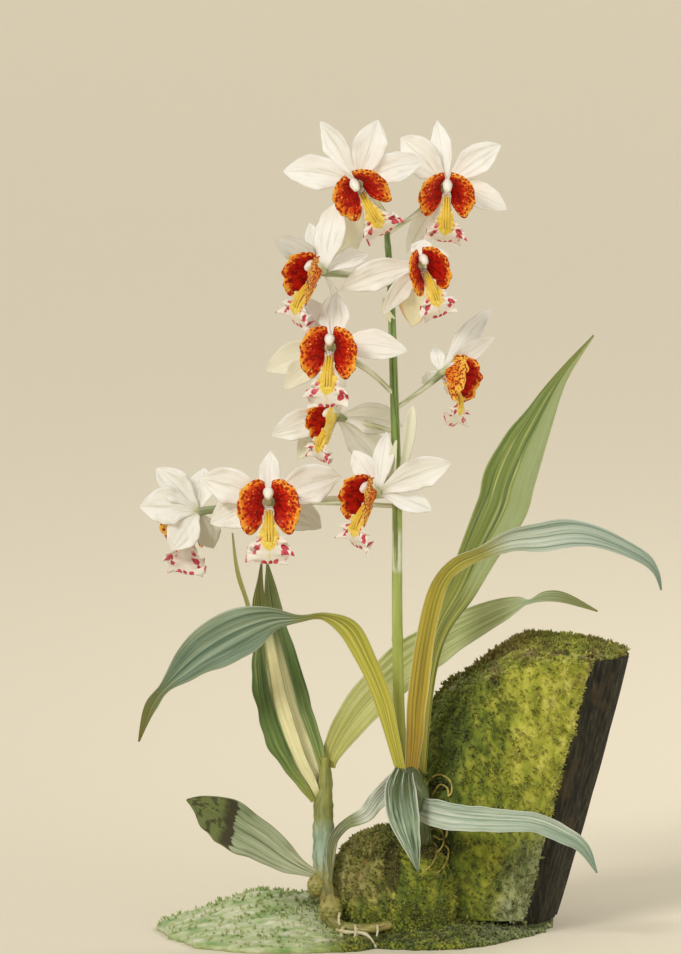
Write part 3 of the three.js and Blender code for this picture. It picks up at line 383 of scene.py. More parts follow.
class Shape:
    """A mesh in the making: points in mm, faces, one UV and two marks a point."""

    def __init__(self):
        self.rows, self.faces, self.slots = [], [], []
        self.count = 0

    def add(self, points, faces, uv, mark=0.0, tone=0.0, slot=0):
        n = points.size // 3
        rows = np.zeros((n, 7))
        rows[:, :3] = points.reshape(-1, 3)
        rows[:, 3:5] = uv.reshape(-1, 2)
        rows[:, 5] = mark
        rows[:, 6] = tone
        self.rows.append(rows)
        for f in faces:
            self.faces.extend((f + self.count).tolist())
            self.slots.extend([slot] * len(f))
        self.count += n

    def add_rings(self, points, flip=False):
        """Adds rows of points that close round on themselves, for looks that need no UV."""
        faces = grid_faces(*points.shape[:2], flip=flip, wrap=True)
        self.add(points, [faces], np.zeros(points.shape[:2] + (2,)))

    def build(self, name, materials, nodes, slot):
        """The Blender object, riding on the root and standing for its CAD nodes."""
        rows = np.concatenate(self.rows)
        points = np.clip((rows[:, :3] - PLAN_CENTRE) * MM, CAD_BOX[0], CAD_BOX[1])
        mesh = bpy.data.meshes.new(name)
        mesh.from_pydata(points.tolist(), [], self.faces)
        loops = np.empty(len(mesh.loops), int)
        mesh.loops.foreach_get("vertex_index", loops)
        mesh.uv_layers.new(name="UVMap").data.foreach_set("uv", rows[loops, 3:5].ravel())
        for label, column in (("mark", 5), ("tone", 6)):
            attribute = mesh.attributes.new(label, "FLOAT", "POINT")
            attribute.data.foreach_set("value", rows[:, column].astype(np.float32))
        for material in materials:
            mesh.materials.append(material)
        mesh.polygons.foreach_set("material_index", self.slots)
        mesh.polygons.foreach_set("use_smooth", [True] * len(mesh.polygons))
        mesh.update()
        piece = in_scene(name, mesh)
        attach(piece, "root")
        if nodes:
            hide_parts(*nodes)


def grid_faces(rows, columns, offset=0, flip=False, wrap=False):
    """Quads of a grid of rows by columns points."""
    i = np.arange(rows - 1)[:, None]
    j = np.arange(columns if wrap else columns - 1)[None, :]
    k = (j + 1) % columns
    quads = np.stack([i * columns + j, i * columns + k, (i + 1) * columns + k, (i + 1) * columns + j], -1)
    quads = quads.reshape(-1, 4) + offset
    return quads[:, ::-1] if flip else quads


def sheet(shape, front, back, uv, slot=0, tone=0.0):
    """Adds a closed sheet between two like grids. The back's mark is 1."""
    rows, columns = front.shape[:2]
    n = rows * columns
    ring = np.concatenate([
        np.arange(columns), np.arange(1, rows) * columns + columns - 1,
        (rows - 1) * columns + np.arange(columns - 2, -1, -1), np.arange(rows - 2, 0, -1) * columns,
    ])
    following = np.roll(ring, -1)
    walls = np.stack([ring, ring + n, following + n, following], -1)
    points = np.concatenate([front.reshape(-1, 3), back.reshape(-1, 3)])
    marks = np.concatenate([np.zeros(n), np.ones(n)])
    uvs = np.concatenate([uv.reshape(-1, 2)] * 2)
    tones = np.concatenate([np.broadcast_to(tone, (rows, columns)).ravel()] * 2)
    faces = [grid_faces(rows, columns), grid_faces(rows, columns, n, flip=True), walls]
    shape.add(points, faces, uvs, marks, tones, slot)


def rod(shape, rows, steps, sides, where=place, slot=0, swell=None, tone=0.0):
    """Adds a closed round rod along rows that end in a radius."""
    t = np.linspace(0, 1, steps + 1)
    point, tangent = stations(rows, t, where)
    radius = np.maximum(along(rows, t)[:, -1], 0.25)
    if swell is not None:
        radius = radius * swell(t)
    u = unit(np.cross(tangent, unit(np.array([0.31, 0.9, 0.3]))))
    v = np.cross(tangent, u)
    a = np.linspace(0, 2 * np.pi, sides, endpoint=False)
    ring = u[:, None] * np.cos(a)[None, :, None] + v[:, None] * np.sin(a)[None, :, None]
    points = point[:, None] + ring * radius[:, None, None]
    uv = pairs(t, a / (2 * np.pi))
    n = points.shape[0] * sides
    ends = np.stack([point[0] - tangent[0] * radius[0] * 0.4, point[-1] + tangent[-1] * radius[-1] * 0.5])
    j = np.arange(sides)
    k = (j + 1) % sides
    low_cap = np.stack([k, j, np.full(sides, n)], -1)
    high_cap = np.stack([n - sides + j, n - sides + k, np.full(sides, n + 1)], -1)
    shape.add(
        np.concatenate([points.reshape(-1, 3), ends]),
        [grid_faces(steps + 1, sides, wrap=True), low_cap, high_cap],
        np.concatenate([uv.reshape(-1, 2), [[0, 0.5], [1, 0.5]]]), tone=tone, slot=slot,
    )


def blade(shape, rows, steps, strips, thick, fold, wave, cup=0.0, pleats=0, pleat=0.0,
          face=TOWARDS_EYE, where=place, slot=0, tone=0.0):
    """Adds a thin blade along rows that end in half width and roll."""
    t = np.linspace(0, 1, steps + 1)
    point, tangent = stations(rows, t, where)
    width, roll = along(rows, t)[:, -2:].T
    half = np.maximum(width, 0.35)
    flat_side = unit(np.cross(tangent, face))
    flat_normal = np.cross(flat_side, tangent)
    turn = np.radians(roll)[:, None]
    side = flat_side * np.cos(turn) + flat_normal * np.sin(turn)
    normal = np.cross(side, tangent)
    s = np.linspace(-1, 1, strips + 1)
    amount, times, phase = wave
    crook = np.sqrt(s ** 2 + CROOK) - np.sqrt(CROOK)
    lift = half[:, None] * (fold * crook + cup * s ** 2)[None, :]
    lift = lift + np.minimum(half, 9)[:, None] * pleat * np.cos(pleats * np.pi * s)[None, :]
    ripple = np.sin(2 * np.pi * times * t[:, None] + phase + 1.9 * np.sign(s)[None, :])
    ripple = ripple + 0.5 * np.sin(2 * np.pi * 2.3 * times * t[:, None] + 2 * phase + s[None, :])
    lift = lift + amount * half[:, None] * ripple * (np.abs(s) ** 3)[None, :]
    wide = half[:, None] * s[None, :] * (1 + 0.25 * amount * ripple * np.abs(s)[None, :])
    middle = point[:, None] + side[:, None] * wide[..., None] + normal[:, None] * lift[..., None]
    stand = np.full((steps + 1, strips + 1), thick / 2) * (1 - 0.6 * np.abs(s) ** 4)[None, :]
    offset = normal[:, None] * stand[..., None]
    sheet(shape, middle + offset, middle - offset, pairs(t, 0.5 + 0.5 * s), slot, tone)


def tufts(shape, points, normals, count, length, width):
    """Adds small moss shoots: count fans of narrow leaflets at random places of points."""
    pick = RNG.integers(0, len(points), count)
    base = np.repeat(points[pick] + RNG.normal(0, 0.5, (count, 3)), LEAFLETS, 0)
    normal = np.repeat(normals[pick], LEAFLETS, 0)
    n = len(base)
    lean = unit(normal + RNG.normal(0, 0.8, (n, 3)) * 0.55)
    reach = length * RNG.uniform(0.5, 1.25, n)[:, None]
    side = unit(np.cross(lean, RNG.normal(0, 1, (n, 3)))) * width * RNG.uniform(0.7, 1.3, n)[:, None]
    low = base - normal * 0.4
    mid = base + lean * reach * 0.55
    tip = base + unit(lean + normal * 0.1) * reach
    corners = np.stack([low - side * 0.5, low + side * 0.5, mid + side, tip, mid - side], 1).reshape(-1, 3)
    k = np.arange(n)[:, None] * 5
    faces = [k + np.array([[0, 1, 2, 4]]), k + np.array([[4, 2, 3]])]
    mark = np.tile([0, 0, 0.6, 1, 0.6], n)
    shade = np.repeat(RNG.uniform(0, 1, n), 5)
    shape.add(corners, faces, np.stack([mark, shade], -1), mark)


# Materials.
class Value:
    """What a shader node gives, so that sums of such values read as sums."""

    def __init__(self, graph, socket):
        self.graph = graph
        self.socket = socket

    def __add__(self, other):
        return self.graph.math("ADD", self, other)

    def __sub__(self, other):
        return self.graph.math("SUBTRACT", self, other)

    def __rsub__(self, other):
        return self.graph.math("SUBTRACT", other, self)

    def __mul__(self, other):
        return self.graph.math("MULTIPLY", self, other)

    def __abs__(self):
        return self.graph.math("ABSOLUTE", self)


class Graph:
    """A new material in the making, its colour so far, and short names for its shader nodes."""

    def __init__(self, name, colour=None):
        self.colour = colour
        self.material = bpy.data.materials.new(name)
        self.material.use_nodes = True
        self.tree = self.material.node_tree

    def node(self, kind, *values, **settings):
        """A new node, with values for its first inputs."""
        made = self.tree.nodes.new("ShaderNode" + kind)
        for key, value in settings.items():
            setattr(made, key, value)
        for socket, value in zip(made.inputs, values):
            self.put(socket, value)
        return made

    def named(self, kind, **values):
        """A new node, with values for its inputs of those names."""
        made = self.node(kind)
        for label, value in values.items():
            self.put(made.inputs[label], value)
        return made

    def put(self, socket, value):
        if isinstance(value, Value):
            self.tree.links.new(value.socket, socket)
        else:
            socket.default_value = srgb(value) if isinstance(value, str) else value

    def out(self, made, which=0):
        return Value(self, made.outputs[which])

    def math(self, operation, *values):
        return self.out(self.node("Math", *values, operation=operation))

    def most(self, a, b):
        return self.math("MAXIMUM", a, b)

    def step(self, value, low, high, last=1.0, first=0.0):
        """A smooth step from first to last as value goes from low to high."""
        made = self.node("MapRange", value, low, high, first, last, interpolation_type="SMOOTHSTEP")
        return self.out(made)

    def mix(self, factor, a, b):
        made = self.node("Mix", factor, data_type="RGBA")
        self.put(made.inputs[6], a)
        self.put(made.inputs[7], b)
        return self.out(made, 2)

    def over(self, share, colour):
        """Lays a colour over the colour so far."""
        self.colour = self.mix(share, self.colour, colour)

    def ramp(self, factor, stops):
        made = self.node("ValToRGB", factor)
        band = made.color_ramp
        while len(band.elements) < len(stops):
            band.elements.new(0.5)
        for element, (at, colour) in zip(band.elements, stops.items()):
            element.position = at
            element.color = srgb(colour) if isinstance(colour, str) else (colour, colour, colour, 1)
        return self.out(made)

    def parts(self, kind, source):
        """The three numbers of a vector or a colour."""
        made = self.node(kind, source)
        return [self.out(made, k) for k in range(3)]

    def uv(self):
        source = self.out(self.node("TexCoord"), "UV")
        return self.parts("SeparateXYZ", source)[:2]

    def place(self):
        """The place on the object in mm."""
        source = self.out(self.node("TexCoord"), "Object")
        return self.stretch(source, (1 / MM, 1 / MM, 1 / MM))

    def front(self, where):
        """Across and up as the plant is seen from the front, in mm."""
        x, y, z = self.parts("SeparateXYZ", where)
        up = z * math.cos(EYE_LIFT) + PLAN_CENTRE[1] * math.sin(EYE_LIFT)
        return x + PLAN_CENTRE[0], y * math.sin(EYE_LIFT) + up

    def vector(self, x, y, z=0.0):
        return self.out(self.node("CombineXYZ", x, y, z))

    def stretch(self, vector, scale):
        return self.out(self.node("VectorMath", vector, scale, operation="MULTIPLY"))

    def noise(self, vector, scale, detail, rough=0.55):
        return self.out(self.named("TexNoise", Vector=vector, Scale=scale, Detail=detail, Roughness=rough))

    def cells(self, vector, scale, output="Distance", random=1.0):
        return self.out(self.named("TexVoronoi", Vector=vector, Scale=scale, Randomness=random), output)

    def warped(self, vector, where):
        """The vector moved about by soft noise."""
        colour = self.out(self.named("TexNoise", Vector=where, Scale=0.35), "Color")
        shift = self.stretch(colour, (0.5, 0.5, 0))
        return self.out(self.node("VectorMath", vector, shift, operation="ADD"))

    def mark(self, name="mark"):
        return self.out(self.node("Attribute", attribute_name=name), "Fac")

    def finish(self, rough, bump=None, **levels):
        """The material in its colour, with this roughness. bump is (height, strength, distance)."""
        shader = self.tree.nodes["Principled BSDF"]
        self.put(shader.inputs["Base Color"], self.colour)
        self.put(shader.inputs["Roughness"], rough)
        for name, value in levels.items():
            self.put(shader.inputs[LEVELS[name]], value)
        if bump:
            made = self.named("Bump", Height=bump[0], Strength=bump[1], Distance=bump[2])
            self.put(shader.inputs["Normal"], self.out(made))
        return self.material


def leaf_material(name, ramp, dark, light, under, veins=13, edge="d8dcc0", edge_from=0.465,
                  streaks=0.55, band=None, seed=0, patch=None):
    """Pleated leaf: colour runs from root to tip for its ground, its dark colour and its pale colour.
    The dark colour is painted shade in the pleats' valleys and along the midrib, and the pale colour
    painted highlight on the pleats' ridges; both also lay streaks, which are partly the leaf's own
    streaking and partly painted shade and highlight. The edge colour lays a line along both margins,
    a painted highlight where that colour is pale. band is (side, colour, from, to, width, strength):
    a pale band along one edge, painted highlight on that side of the blade. patch is
    (colour, spots, from, slant): the turned-over end."""
    g = Graph(name)
    u, v = g.uv()
    base = g.ramp(u, ramp)
    dark, light = (g.ramp(u, c) if isinstance(c, dict) else c for c in (dark, light))
    bend = g.noise(g.vector(u * 3, v * 3, seed + 9), 1, 2)
    drawn = (bend - 0.5) * 0.16 + v
    streak = g.noise(g.vector(u * 2.2, drawn * 10, seed), 1, 4, 0.6)
    fine = g.noise(g.vector(u * 8, drawn * 60, seed + 4), 1, 3)
    # Dark and pale streaks: partly the leaf's own streaking, partly painted shade and painted highlight.
    g.colour = g.mix(g.step(streak, 0.5, 0.64, streaks), base, dark)
    g.over(g.step(streak, 0.46, 0.32, streaks), light)
    # Painted shade in the pleats' valleys and painted highlight on their ridges.
    folds = g.math("SINE", drawn * (veins * math.pi))
    g.over(g.step(folds, 0.7, 1, 0.24), dark)
    g.over(g.step(folds, -0.75, -1, 0.22), light)
    g.over(g.step(fine, 0.5, 0.75, 0.3), dark)
    centre = abs(v - 0.5)
    # Painted shade along the midrib's crease.
    g.over(g.step(centre, 0.03, 0.012, 0.6), dark)
    wander = streak - 0.5
    # A pale band along one edge: painted highlight on that side of the blade.
    if band:
        side, tint, low, high, wide, strength = band
        across = v if side > 0 else 1 - v
        inside = g.step(wander * 0.35 + across, wide, wide + 0.1)
        reach = g.step(u, low, low + 0.08, strength) * g.step(u, high, high - 0.18)
        tinted = g.mix(g.step(fine, 0.5, 0.7, 0.4), tint, light)
        g.over(inside * reach, tinted)
    if patch:
        tint, spots, start, slant = patch
        run = wander * 0.12 + ((0.5 - v) * slant + u)
        blots = g.noise(g.vector(u * 16, v * 7, seed), 1, 3)
        spotted = g.most(g.step(blots, 0.5, 0.58, 0.85), g.step(run, start + 0.12, start + 0.05))
        end = g.mix(spotted, tint, spots)
        g.over(g.step(run, start, start + 0.012, 0.96), end)
    # A margin line in the edge colour; a pale one is a painted highlight on the leaf's edge.
    g.over(g.step(centre, edge_from, 0.498, 0.75), edge)
    g.over(g.mark() * 0.7, under)
    rough = g.step(fine, 0.3, 0.7, 0.56, 0.37)
    return g.finish(rough, (folds * 0.3 + fine, 0.45, 0.0006), shine=0.35, sheen=0.1)


def petal_material(name, tint=None, edge=None):
    """White satin with faint veins, soft painted grey shade, painted grey shade along its edges and a
    green-yellow base; tint and edge colour a petal that is seen from behind or against the light, and
    the grey-beige tint of petal_shaded is painted shade."""
    g = Graph(name)
    u, v = g.uv()
    tone = g.mark("tone")
    long = g.vector(u * 2.2, v * 6, tone * 40)
    shade = g.noise(long, 1, 3)
    fine = g.noise(g.vector(u * 6, v * 46, tone), 1, 2)
    g.colour = g.mix(g.step(shade, 0.5, 0.74, 0.7), "fffef8", "dcd8c9")
    g.over(g.step(fine, 0.56, 0.75, 0.16), "c9c4b0")
    centre = abs(v - 0.5)
    g.over(g.step(centre, 0.035, 0.008, 0.28), "b9b8a2")
    g.over(g.step(u, 0.2, 0.02, 0.6), "cfd0a0")
    if tint:
        g.over(g.step(shade, 0.2, 0.6, 0.6, 0.95), tint)
    # Painted shade: a grey line along the petal's edges.
    g.over(g.step(centre, 0.47, 0.5, 0.35), "b8b49f")
    if edge:
        g.over(g.step(centre, 0.36, 0.49, 0.8), edge)
    g.over(g.mark() * 0.25, "e6e1d0")
    return g.finish(0.55, (fine + shade * 0.6, 0.3, 0.0005), shine=0.3, glow=0.12,
                    glow_radius=(1, 0.9, 0.7), glow_scale=0.002)


def lip_material():
    """Red spots on an orange-yellow ground; solid red in the throat, wider where the tone is 1, and
    plain yellow where it is -1."""
    g = Graph("lip")
    u, v = g.uv()
    where = g.place()
    deep = g.mark("tone")
    rim = v + (g.noise(where, 0.4, 2) - 0.5) * 0.5
    throat = g.step(deep, 0, 1, 0.78, 0.36)
    inside = g.step(rim - throat, 0.1, -0.1)
    ground = g.ramp(rim, {0: "c01404", 0.5: "d42206", 0.68: "e8500e", 0.84: "f68c22", 1: "fdbc46"})
    radial = g.vector(u * 56, v * 9)
    dot = g.cells(radial, 1)
    chance, other_chance = g.parts("SeparateColor", g.cells(radial, 1, output="Color"))[:2]
    is_pale = g.step(chance, 0.76, 0.82)
    pale = g.step(dot, 0.4, 0.28) * is_pale * g.step(rim, 0.4, 0.75, 1, 0.5)
    large = g.step(dot, 0.62, 0.48) * (1 - is_pale)
    g.colour = g.mix(pale * 0.9, ground, "fccb62")
    g.over(large * 0.92, g.mix(rim, "840602", "b01005"))
    blush = g.mix(g.step(g.noise(radial, 0.5, 3), 0.42, 0.64), "c41606", "860603")
    flecks = pale * g.step(other_chance, 0.6, 0.7) * 0.6
    g.over(inside, g.mix(flecks, blush, "e8862c"))
    back = g.mix(g.step(rim, 0.1, 0.8), "f28a20", "ffc850")
    back = g.mix(g.step(dot, 0.56, 0.44) * 0.95, back, "a80e04")
    g.over(g.mark(), back)
    plain = g.mix(g.step(g.noise(where, 0.5, 2), 0.45, 0.6), "f3cf4a", "f8e48a")
    g.over(g.step(deep, -0.5, -1), plain)
    return g.finish(0.55, (g.noise(where, 1.2, 3) + dot, 0.3, 0.0004), shine=0.2)


def tongue_material():
    """White front lobe, crimson blotches round its outer margin and a yellow run down its throat."""
    g = Graph("tongue")
    u, v = g.uv()
    where = g.place()
    centre = abs(v - 0.5) * 2
    warp = (g.noise(where, 0.5, 2) - 0.5) * 0.3
    g.colour = g.mix(g.noise(where, 0.3, 2), "fffaf0", "efe4da")
    band = g.ramp(u, {0: 1, 0.4: 0.95, 0.55: 0.6, 0.68: 0.3, 0.76: 0})
    yellow = g.step(centre + warp - band, 0.08, -0.1) * (1 - g.mark())
    shine = g.mix(g.step(g.noise(where, 0.6, 2), 0.4, 0.65), "f1cf3a", "f7e27c")
    g.over(yellow * g.step(u, 0.1, 0.3), shine)
    throat = g.step(u, 0.3, 0.12) * g.step(g.noise(where, 0.9, 1), 0.42, 0.56)
    g.over(throat * 0.6, "7f8a4a")
    out = g.most(centre, g.step(u, 0.76, 1))
    near_rim = g.step(out, 0.36, 0.5) * g.step(u, 0.46, 0.56)
    radial = g.vector(u * 7.5, v * 6)
    cell = g.cells(g.warped(radial, where), 1, random=0.6)
    blotch = g.step(cell, 0.5, 0.43) * near_rim
    tint = g.mix(g.step(g.noise(where, 0.5, 2), 0.4, 0.62), "bb2138", "dd5a6c")
    g.over(blotch, tint)
    low = yellow * g.step(u, 0.5, 0.6)
    speck = g.step(g.cells(where, 0.75), 0.24, 0.16) * low
    g.over(speck * 0.7, "8a6a1c")
    g.over(g.mark("tone") * 0.9, "efcb30")
    return g.finish(0.48, (g.noise(where, 1.4, 3), 0.3, 0.0004), glow=0.06, glow_scale=0.0015)


def stalk_material():
    """White-green flower stalk and column."""
    g = Graph("stalk")
    u, v = g.uv()
    streak = g.noise(g.vector(u * 3, v * 9, 1), 1, 3)
    g.colour = g.mix(g.step(streak, 0.4, 0.66), "eceed6", "a9b27a")
    g.over(g.step(u, 0.55, 0.15, 0.65), "6f7e48")
    return g.finish(0.45, (streak, 0.3, 0.0004))


def column_material():
    """White column with a green-grey shadow under its hood."""
    g = Graph("column")
    u, v = g.uv()
    where = g.place()
    g.colour = g.mix(g.step(u, 0.62, 0.2), "fdfcf2", "c3c493")
    g.over(g.step(g.noise(where, 0.7, 2), 0.5, 0.7, 0.5), "d8d9b8")
    under = g.step(v, 0.55, 0.7) * g.step(v, 1, 0.9)
    g.over(under * 0.35, "8f9a66")
    return g.finish(0.38, (g.noise(where, 1.4, 2), 0.2, 0.0003))


def scape_material():
    """Green flower stem with dark lengthwise streaks, yellower low down."""
    g = Graph("stem")
    u, v = g.uv()
    base = g.ramp(u, {0: "d2d468", 0.2: "c2cc62", 0.4: "adbd66", 0.6: "86a054", 1: "64814a"})
    streak = g.noise(g.vector(u * 12, v * 9, 3), 1, 4)
    dark = g.step(streak, 0.5, 0.62) * g.step(u, 0.3, 0.6, 0.9, 0.15)
    g.colour = g.mix(dark, base, "445830")
    g.over(g.step(streak, 0.44, 0.32, 0.5), "d3daa0")
    sheath = g.step(u, 0.41, 0.42) * g.step(u, 0.47, 0.455) * g.step(streak, 0.58, 0.5)
    g.over(sheath * 0.8, "eef0dc")
    g.over(g.mark("tone"), "ecebd2")
    return g.finish(0.42, (streak, 0.35, 0.0005))


def oval(g, across, up, x, y, wide, tall):
    """1 inside an oval of the front view and 0 outside it."""
    a = across * (1 / wide) - x / wide
    b = up * (1 / tall) - y / tall
    return g.step(a * a + b * b, 1.1, 0.7)


def moss_ground(g, where):
    """Yellow-green moss broken by soft dark and bright strokes, with its three noises."""
    tall = g.stretch(where, (1, 1, 0.5))
    wide = g.noise(tall, 0.045, 3, 0.6)
    mid = g.noise(tall, 0.15, 4, 0.62)
    fine = g.noise(where, 0.7, 3, 0.6)
    stops = {0.3: "525f24", 0.43: "74822c", 0.53: "949c36", 0.64: "b2b246", 0.78: "d0cc6c"}
    g.colour = g.ramp(mid, stops)
    return wide, mid, fine


def moss_finish(g, fine, mid):
    """Paler tips for the shoots, and the finished moss."""
    g.over(g.mark() * 0.25, "d3d278")
    return g.finish(0.85, (fine + mid, 0.55, 0.0012), sheen=0.2, shine=0.2)


def pot_moss_material():
    """Painted shade at the left and on the right flank, a painted highlight in the middle, brown on the
    shoulder, blue-grey low at the right and painted shade in dark hollows.
    """
    g = Graph("moss")
    where = g.place()
    wide, mid, fine = moss_ground(g, where)
    across, up = g.front(where)
    drift = (wide - 0.5) * 60
    nooks = g.most(oval(g, across, up, 23, 82, 6, 3.4), oval(g, across, up, 27, 52, 4, 11))
    across = across + drift
    up = up + drift
    # Painted shade on the moss's left flank, in these darker greens.
    dark = g.ramp(mid, {0.32: "3e4c1c", 0.5: "5a6e28", 0.66: "7e8c38", 0.8: "a2a850"})
    g.over(g.step(across, 50, 26, 0.85), dark)
    # Painted highlight: the bright middle of the moss's front.
    bright = g.ramp(mid, {0.3: "8e9834", 0.44: "b6b844", 0.56: "cecc5a", 0.72: "e4de84"})
    middle = g.step(across, 52, 70) * g.step(up, 62, 92) * g.step(up, 172, 150)
    g.over(middle * 0.75, bright)
    slope = up - across * 0.56
    shoulder = g.step(slope, 116, 130) * g.step(across, 96, 74)
    g.over(shoulder * 0.8, g.mix(fine, "5c3f26", "9a7350"))
    high = g.step(up, 128, 144) * g.step(g.noise(where, 0.09, 2), 0.5, 0.58)
    g.over(high * 0.75, g.mix(fine, "55421f", "8a6c38"))
    grain = g.noise(g.stretch(where, (0.5, 0.5, 0.09)), 1, 4, 0.6)
    low = g.step(across, 48, 72) * g.step(up, 56, 30)
    grey = g.ramp(grain, {0.34: "6c7748", 0.48: "98a27a", 0.6: "babf9e", 0.74: "dcdcc6"})
    g.over(low * 0.8, grey)
    # Painted shade on the moss's right flank.
    side = g.step(across - up * 0.23, 66, 80)
    g.over(side * 0.4, g.mix(fine, "3c381c", "6a6636"))
    # Painted shade: dark hollows in the moss, placed by noise; the nooks take the same dark colour.
    hollow_shade = g.step(g.noise(where, 0.11, 3), 0.62, 0.7) * 0.6
    g.over(g.most(hollow_shade, nooks * 0.9), "343c18")
    return moss_finish(g, fine, mid)


def bank_moss_material():
    """Olive-brown on the round lobe, with painted shade in dark hollows low down, and pale green strokes
    at the left.
    """
    g = Graph("bank_moss")
    where = g.place()
    wide, mid, fine = moss_ground(g, where)
    across, up = g.front(where)
    olive = g.ramp(mid, {0.32: "6c6c32", 0.45: "8e8a48", 0.58: "aca468", 0.7: "c6bd8c", 0.82: "ddd4b0"})
    lobe = g.step(up, 12, 24) * g.step(across, 4, -14)
    g.over(lobe * 0.85, olive)
    spot = g.step(g.cells(where, 0.16), 0.3, 0.2) * lobe
    g.over(spot * 0.55, "94703a")
    shady = g.step(wide, 0.5, 0.42) * g.step(across, -20, 0, 0.6)
    g.over(shady, "55682a")
    pale = g.step(across, 34, 62) * g.step(up, 26, 8)
    g.over(pale * 0.6, g.ramp(mid, {0.36: "7d9158", 0.6: "b4bf92"}))
    # Painted shade low down at the foot of the lobe.
    hollow_shade = g.step(up, 18, 6) * g.step(across, -40, -26) * g.step(fine, 0.6, 0.42)
    g.over(hollow_shade * 0.85, "1e2b10")
    scale = g.most(oval(g, across, up, -3, 38, 5, 15), oval(g, across, up, 17, 50, 7, 9))
    g.over(scale * 0.8, g.mix(fine, "2c3012", "5a4a24"))
    strokes = g.noise(g.stretch(where, (0.05, 0.14, 0.2)), 1, 4, 0.6)
    meadow = g.ramp(strokes, {0.32: "84a864", 0.44: "b2c48a", 0.56: "d0d8ae", 0.7: "eeecd6"})
    left = g.step(across + (wide - 0.5) * 50, -28, -50)
    g.over(left * 0.95, meadow)
    return moss_finish(g, fine, mid)


def bark_material():
    """Dark upright grain, brown-black with blue-grey streaks."""
    g = Graph("bark")
    where = g.place()
    grain = g.noise(g.stretch(where, (0.5, 0.5, 0.045)), 1, 5, 0.65)
    fibre = g.noise(g.stretch(where, (2.2, 2.2, 0.1)), 1, 4, 0.6)
    stops = {0.32: "17160e", 0.46: "262418", 0.55: "3b3824", 0.68: "5a563c", 0.8: "858a78"}
    g.colour = g.ramp(grain, stops)
    g.over(g.step(fibre, 0.52, 0.7, 0.6), "0e0f0b")
    g.over(g.step(g.noise(where, 0.06, 2), 0.55, 0.7, 0.5), "5a4a30")
    return g.finish(0.8, (grain * 1.4 + fibre, 1, 0.002))


def earth_material():
    """Crumbly brown earth."""
    g = Graph("soil")
    where = g.place()
    crumb = g.noise(where, 0.5, 5, 0.7)
    g.colour = g.ramp(crumb, {0.3: "1c140d", 0.5: "3b2c1d", 0.7: "6b5438"})
    return g.finish(0.95, (crumb + g.cells(where, 0.6), 1, 0.002))


def husk_material(name, ramp, dark, light, seed):
    """Sheathed stem or bulb: papery layers with lengthwise veins."""
    g = Graph(name)
    u, v = g.uv()
    base = g.ramp(u, ramp)
    streak = g.noise(g.vector(u * 5, v * 14, seed), 1, 4)
    g.colour = g.mix(g.step(streak, 0.5, 0.66, 0.7), base, dark)
    g.over(g.step(streak, 0.45, 0.3, 0.6), light)
    return g.finish(0.55, (streak, 0.5, 0.0006))


# petal_shaded is a painted-shade copy of the white petal.
PETALS = [
    petal_material("petal"), petal_material("petal_shaded", tint="b9b4a0"),
    petal_material("petal_cream", tint="f1ecd0"),
    petal_material("petal_yellow", tint="efe6b0", edge="e3a06a"),
]
LIP = lip_material()
TONGUE_SKIN = tongue_material()
STALK = stalk_material()
COLUMN_SKIN = column_material()
STEM = scape_material()
MOSS = pot_moss_material()
BANK_MOSS = bank_moss_material()
BARK = bark_material()
EARTH = earth_material()
HUSK = husk_material(
    "growth_a", {0: "8a7a3c", 0.2: "9a9a60", 0.35: "a3b7a0", 0.5: "91a88e", 0.62: "8f924c", 1: "a0a04c"},
    "55633a", "d3d8b4", 2)
BULB = husk_material("bulb", {0: "6f6a32", 0.5: "97954f", 1: "a89a55"}, "4a3a20", "cfc890", 5)
CROWN = husk_material(
    "growth_b", {0: "3a4420", 0.3: "515c2e", 0.6: "74845a", 1: "4a5228"}, "333f22", "c9d2b4", 7)
ROOT_SKIN = husk_material("root", {0: "c9c08c", 0.5: "ddd6b0", 1: "efe9cf"}, "8f7f4c", "f6f2df", 9)
ROOT_LOOP = husk_material("moss_root", {0: "c4ac48", 1: "dcc878"}, "75601e", "efe4ac", 9.5)


# Leaves.
for seed, (name, rows) in enumerate(LEAVES.items(), 1):
    shape = Shape()
    blade(shape, rows, steps=110, strips=30, thick=0.8, fold=0.2, wave=WAVES[name], pleats=6, pleat=0.022)
    skin = leaf_material(name, seed=seed, **LEAF_LOOK[name])
    shape.build(name + "_blade", [skin], [name], LEAF_SLOTS.get(name, "leaf"))


# Flowers.
def spin(degrees, i, j):
    """The turn that takes axis i towards axis j."""
    turn = np.eye(3)
    turn[i, i] = turn[j, j] = math.cos(math.radians(degrees))
    turn[j, i] = math.sin(math.radians(degrees))
    turn[i, j] = -turn[j, i]
    return turn


def flower_frame(heart, lip):
    """Where a point of the lip goes."""
    roll, yaw, pitch, size = lip[:4]
    view = np.stack([[1, 0, 0], [0, math.sin(EYE_LIFT), math.cos(EYE_LIFT)], TOWARDS_EYE], -1)
    turned = view @ spin(yaw, 2, 0) @ spin(-pitch, 1, 2) @ spin(roll, 0, 1) * size
    centre = place(heart)
    return lambda p: np.asarray(p, float)[..., :3] @ turned.T + centre


def tepal_rows(heart, tepal):
    angle, length, half, lean, roll = tepal
    a = math.radians(angle)
    back = math.tan(math.radians(lean))
    arch = 0.06 * length * abs(math.cos(a))
    rows = []
    for s, wide in TEPAL_WIDTHS:
        reach = length * s
        depth = heart[2] + reach * back + 0.1 * length * s * s
        rise = reach * math.sin(a) + arch * math.sin(math.pi * s)
        rows.append([heart[0] + reach * math.cos(a), heart[1] + rise, depth, half * wide, roll])
    return rows


